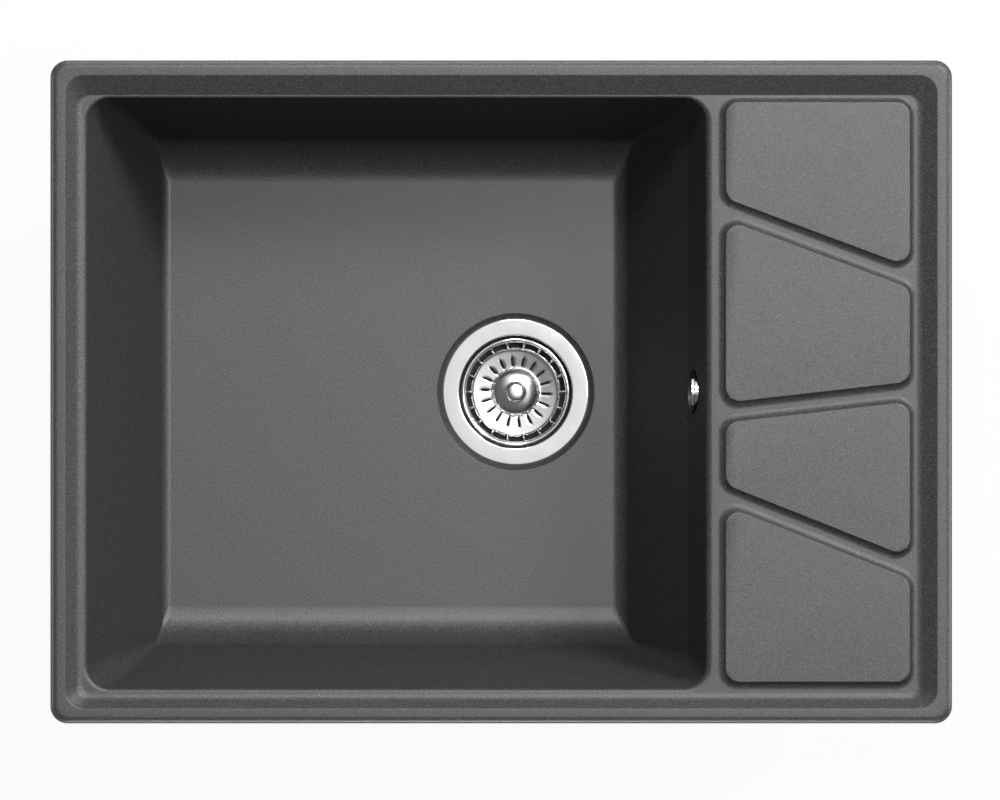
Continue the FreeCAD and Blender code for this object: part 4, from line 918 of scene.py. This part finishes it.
def basket_turn(column, radius):
    """The turn of a grid line: along the slot on the floor, along the window on the wall."""
    if column < SLOT_COLUMNS[0]:
        floor_line = SECTOR * PLAIN_COLUMN * column
    elif column <= SLOT_COLUMNS[1]:
        floor_line = SLOT_TURN + math.asin(SLOT_HALF * ACROSS_SLOT[column - SLOT_COLUMNS[0]] / radius)
    else:
        floor_line = SECTOR
    share = min(max((radius - BLEND_FROM) / BLEND_OVER, 0.0), 1.0)
    return floor_line + (WALL_TURNS[column] - floor_line) * share


def slot_bulge(row, column):
    """How far the round ends of a slot move a grid point along it."""
    if row not in SLOT_ROWS or not SLOT_COLUMNS[0] < column < SLOT_COLUMNS[1]:
        return 0.0
    across = ACROSS_SLOT[column - SLOT_COLUMNS[0]]
    bulge = SLOT_HALF * math.sqrt(1 - across ** 2) * SLOT_END
    return bulge if row == SLOT_ROWS[1] else -bulge


def left_out(row, column, rows, columns):
    """Whether a face of the grid belongs to a hole."""
    return rows[0] <= row < rows[1] and columns[0] <= column < columns[1]


print("basket rows:", len(BASKET_ROWS))

# %% Basket
sector = bmesh.new()
grid = []
for row, (radius, height) in enumerate(BASKET_ROWS):
    line = []
    for column in range(len(WALL_TURNS)):
        reach = radius + slot_bulge(row, column)
        turn = basket_turn(column, radius)
        x, y = reach * math.cos(turn), reach * math.sin(turn)
        line.append(sector.verts.new((x * MM, y * MM, height * MM)))
    grid.append(line)
for row, (inner, outer) in enumerate(zip(grid, grid[1:])):
    for column in range(len(WALL_TURNS) - 1):
        if not (left_out(row, column, SLOT_ROWS, SLOT_COLUMNS)
                or left_out(row, column, WINDOW_ROWS, WINDOW_COLUMNS)):
            sector.faces.new((inner[column], outer[column], outer[column + 1], inner[column + 1]))
basket = piece("basket_sheet", sector, steel)
if basket.data.polygons[0].normal.z < 0:
    basket.data.flip_normals()
repeated(basket, WINDOWS, steel, ("SOLIDIFY", {"thickness": SHEET * MM, "offset": -1.0}))
print("basket faces:", len(basket.data.polygons))

# %% Basket's rolled rim
BEAD_RADIUS, BEAD_Z, BEAD_SECTION, BEAD_STEPS = 39.9, -193.95, 1.3, 14
bead = bmesh.new()
bead_turns = [math.tau * step / BEAD_STEPS for step in range(BEAD_STEPS)]
turned(bead, [(BEAD_RADIUS + BEAD_SECTION * math.cos(turn), BEAD_Z + BEAD_SECTION * math.sin(turn))
              for turn in bead_turns])
basket_rim = settled(piece("basket_rim", bead, steel))
for made in (basket, basket_rim):
    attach(made, "basket")
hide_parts("strainer_basket")
print("rim faces:", len(basket_rim.data.polygons))

# %% [markdown]
# The knob is a turned dome with a low nub to grip. Its profile is a list of radius and height
# from the foot to the tip, and a bore goes back down for the stem.

# %% Knob
BORE, KNOB_FOOT, SAME_POINT = 3.2, -208.0, 0.00001
dome = bmesh.new()
turned(dome, [(BORE, KNOB_FOOT), (18.4, KNOB_FOOT), (18.6, -207.8), (18.6, -204.0),
              (18.4, -203.0), (17.9, -202.0), (17.0, -201.1), (15.5, -200.15), (13.5, -199.2),
              (11.5, -198.45), (9.5, -197.9), (8.2, -197.6), (7.6, -197.3), (7.3, -196.8),
              (7.2, -196.1), (6.9, -195.4), (6.2, -194.8), (5.0, -194.3), (3.2, -194.05),
              (0, -194.0)], closed=False)
turned(dome, [(BORE, KNOB_FOOT), (BORE, -200.2), (0, -200.1)], closed=False)
bmesh.ops.remove_doubles(dome, verts=dome.verts, dist=SAME_POINT)
knob = settled(piece("knob_dome", dome, satin_steel))
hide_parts("basket_knob")
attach(knob, "basket")
print("knob faces:", len(knob.data.polygons))

# %% [markdown]
# ## Finishes on the engineering model's own parts
# The pipework, seals, clips and screws keep the engineering model's shapes, which are right,
# and only take a finish.

# %% Finishes
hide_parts("sink_moulding")
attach(sink_skin, "sink")
KINDS = {"composite": stone, "zinc_steel": zinc, "steel": steel, "brass": brass, "rubber": rubber,
         "pipe_plastic": plastic}
for name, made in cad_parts.items():
    for slot in made.material_slots:
        for kind, material in KINDS.items():
            if slot.material and kind in slot.material.name:
                slot.material = material
                break
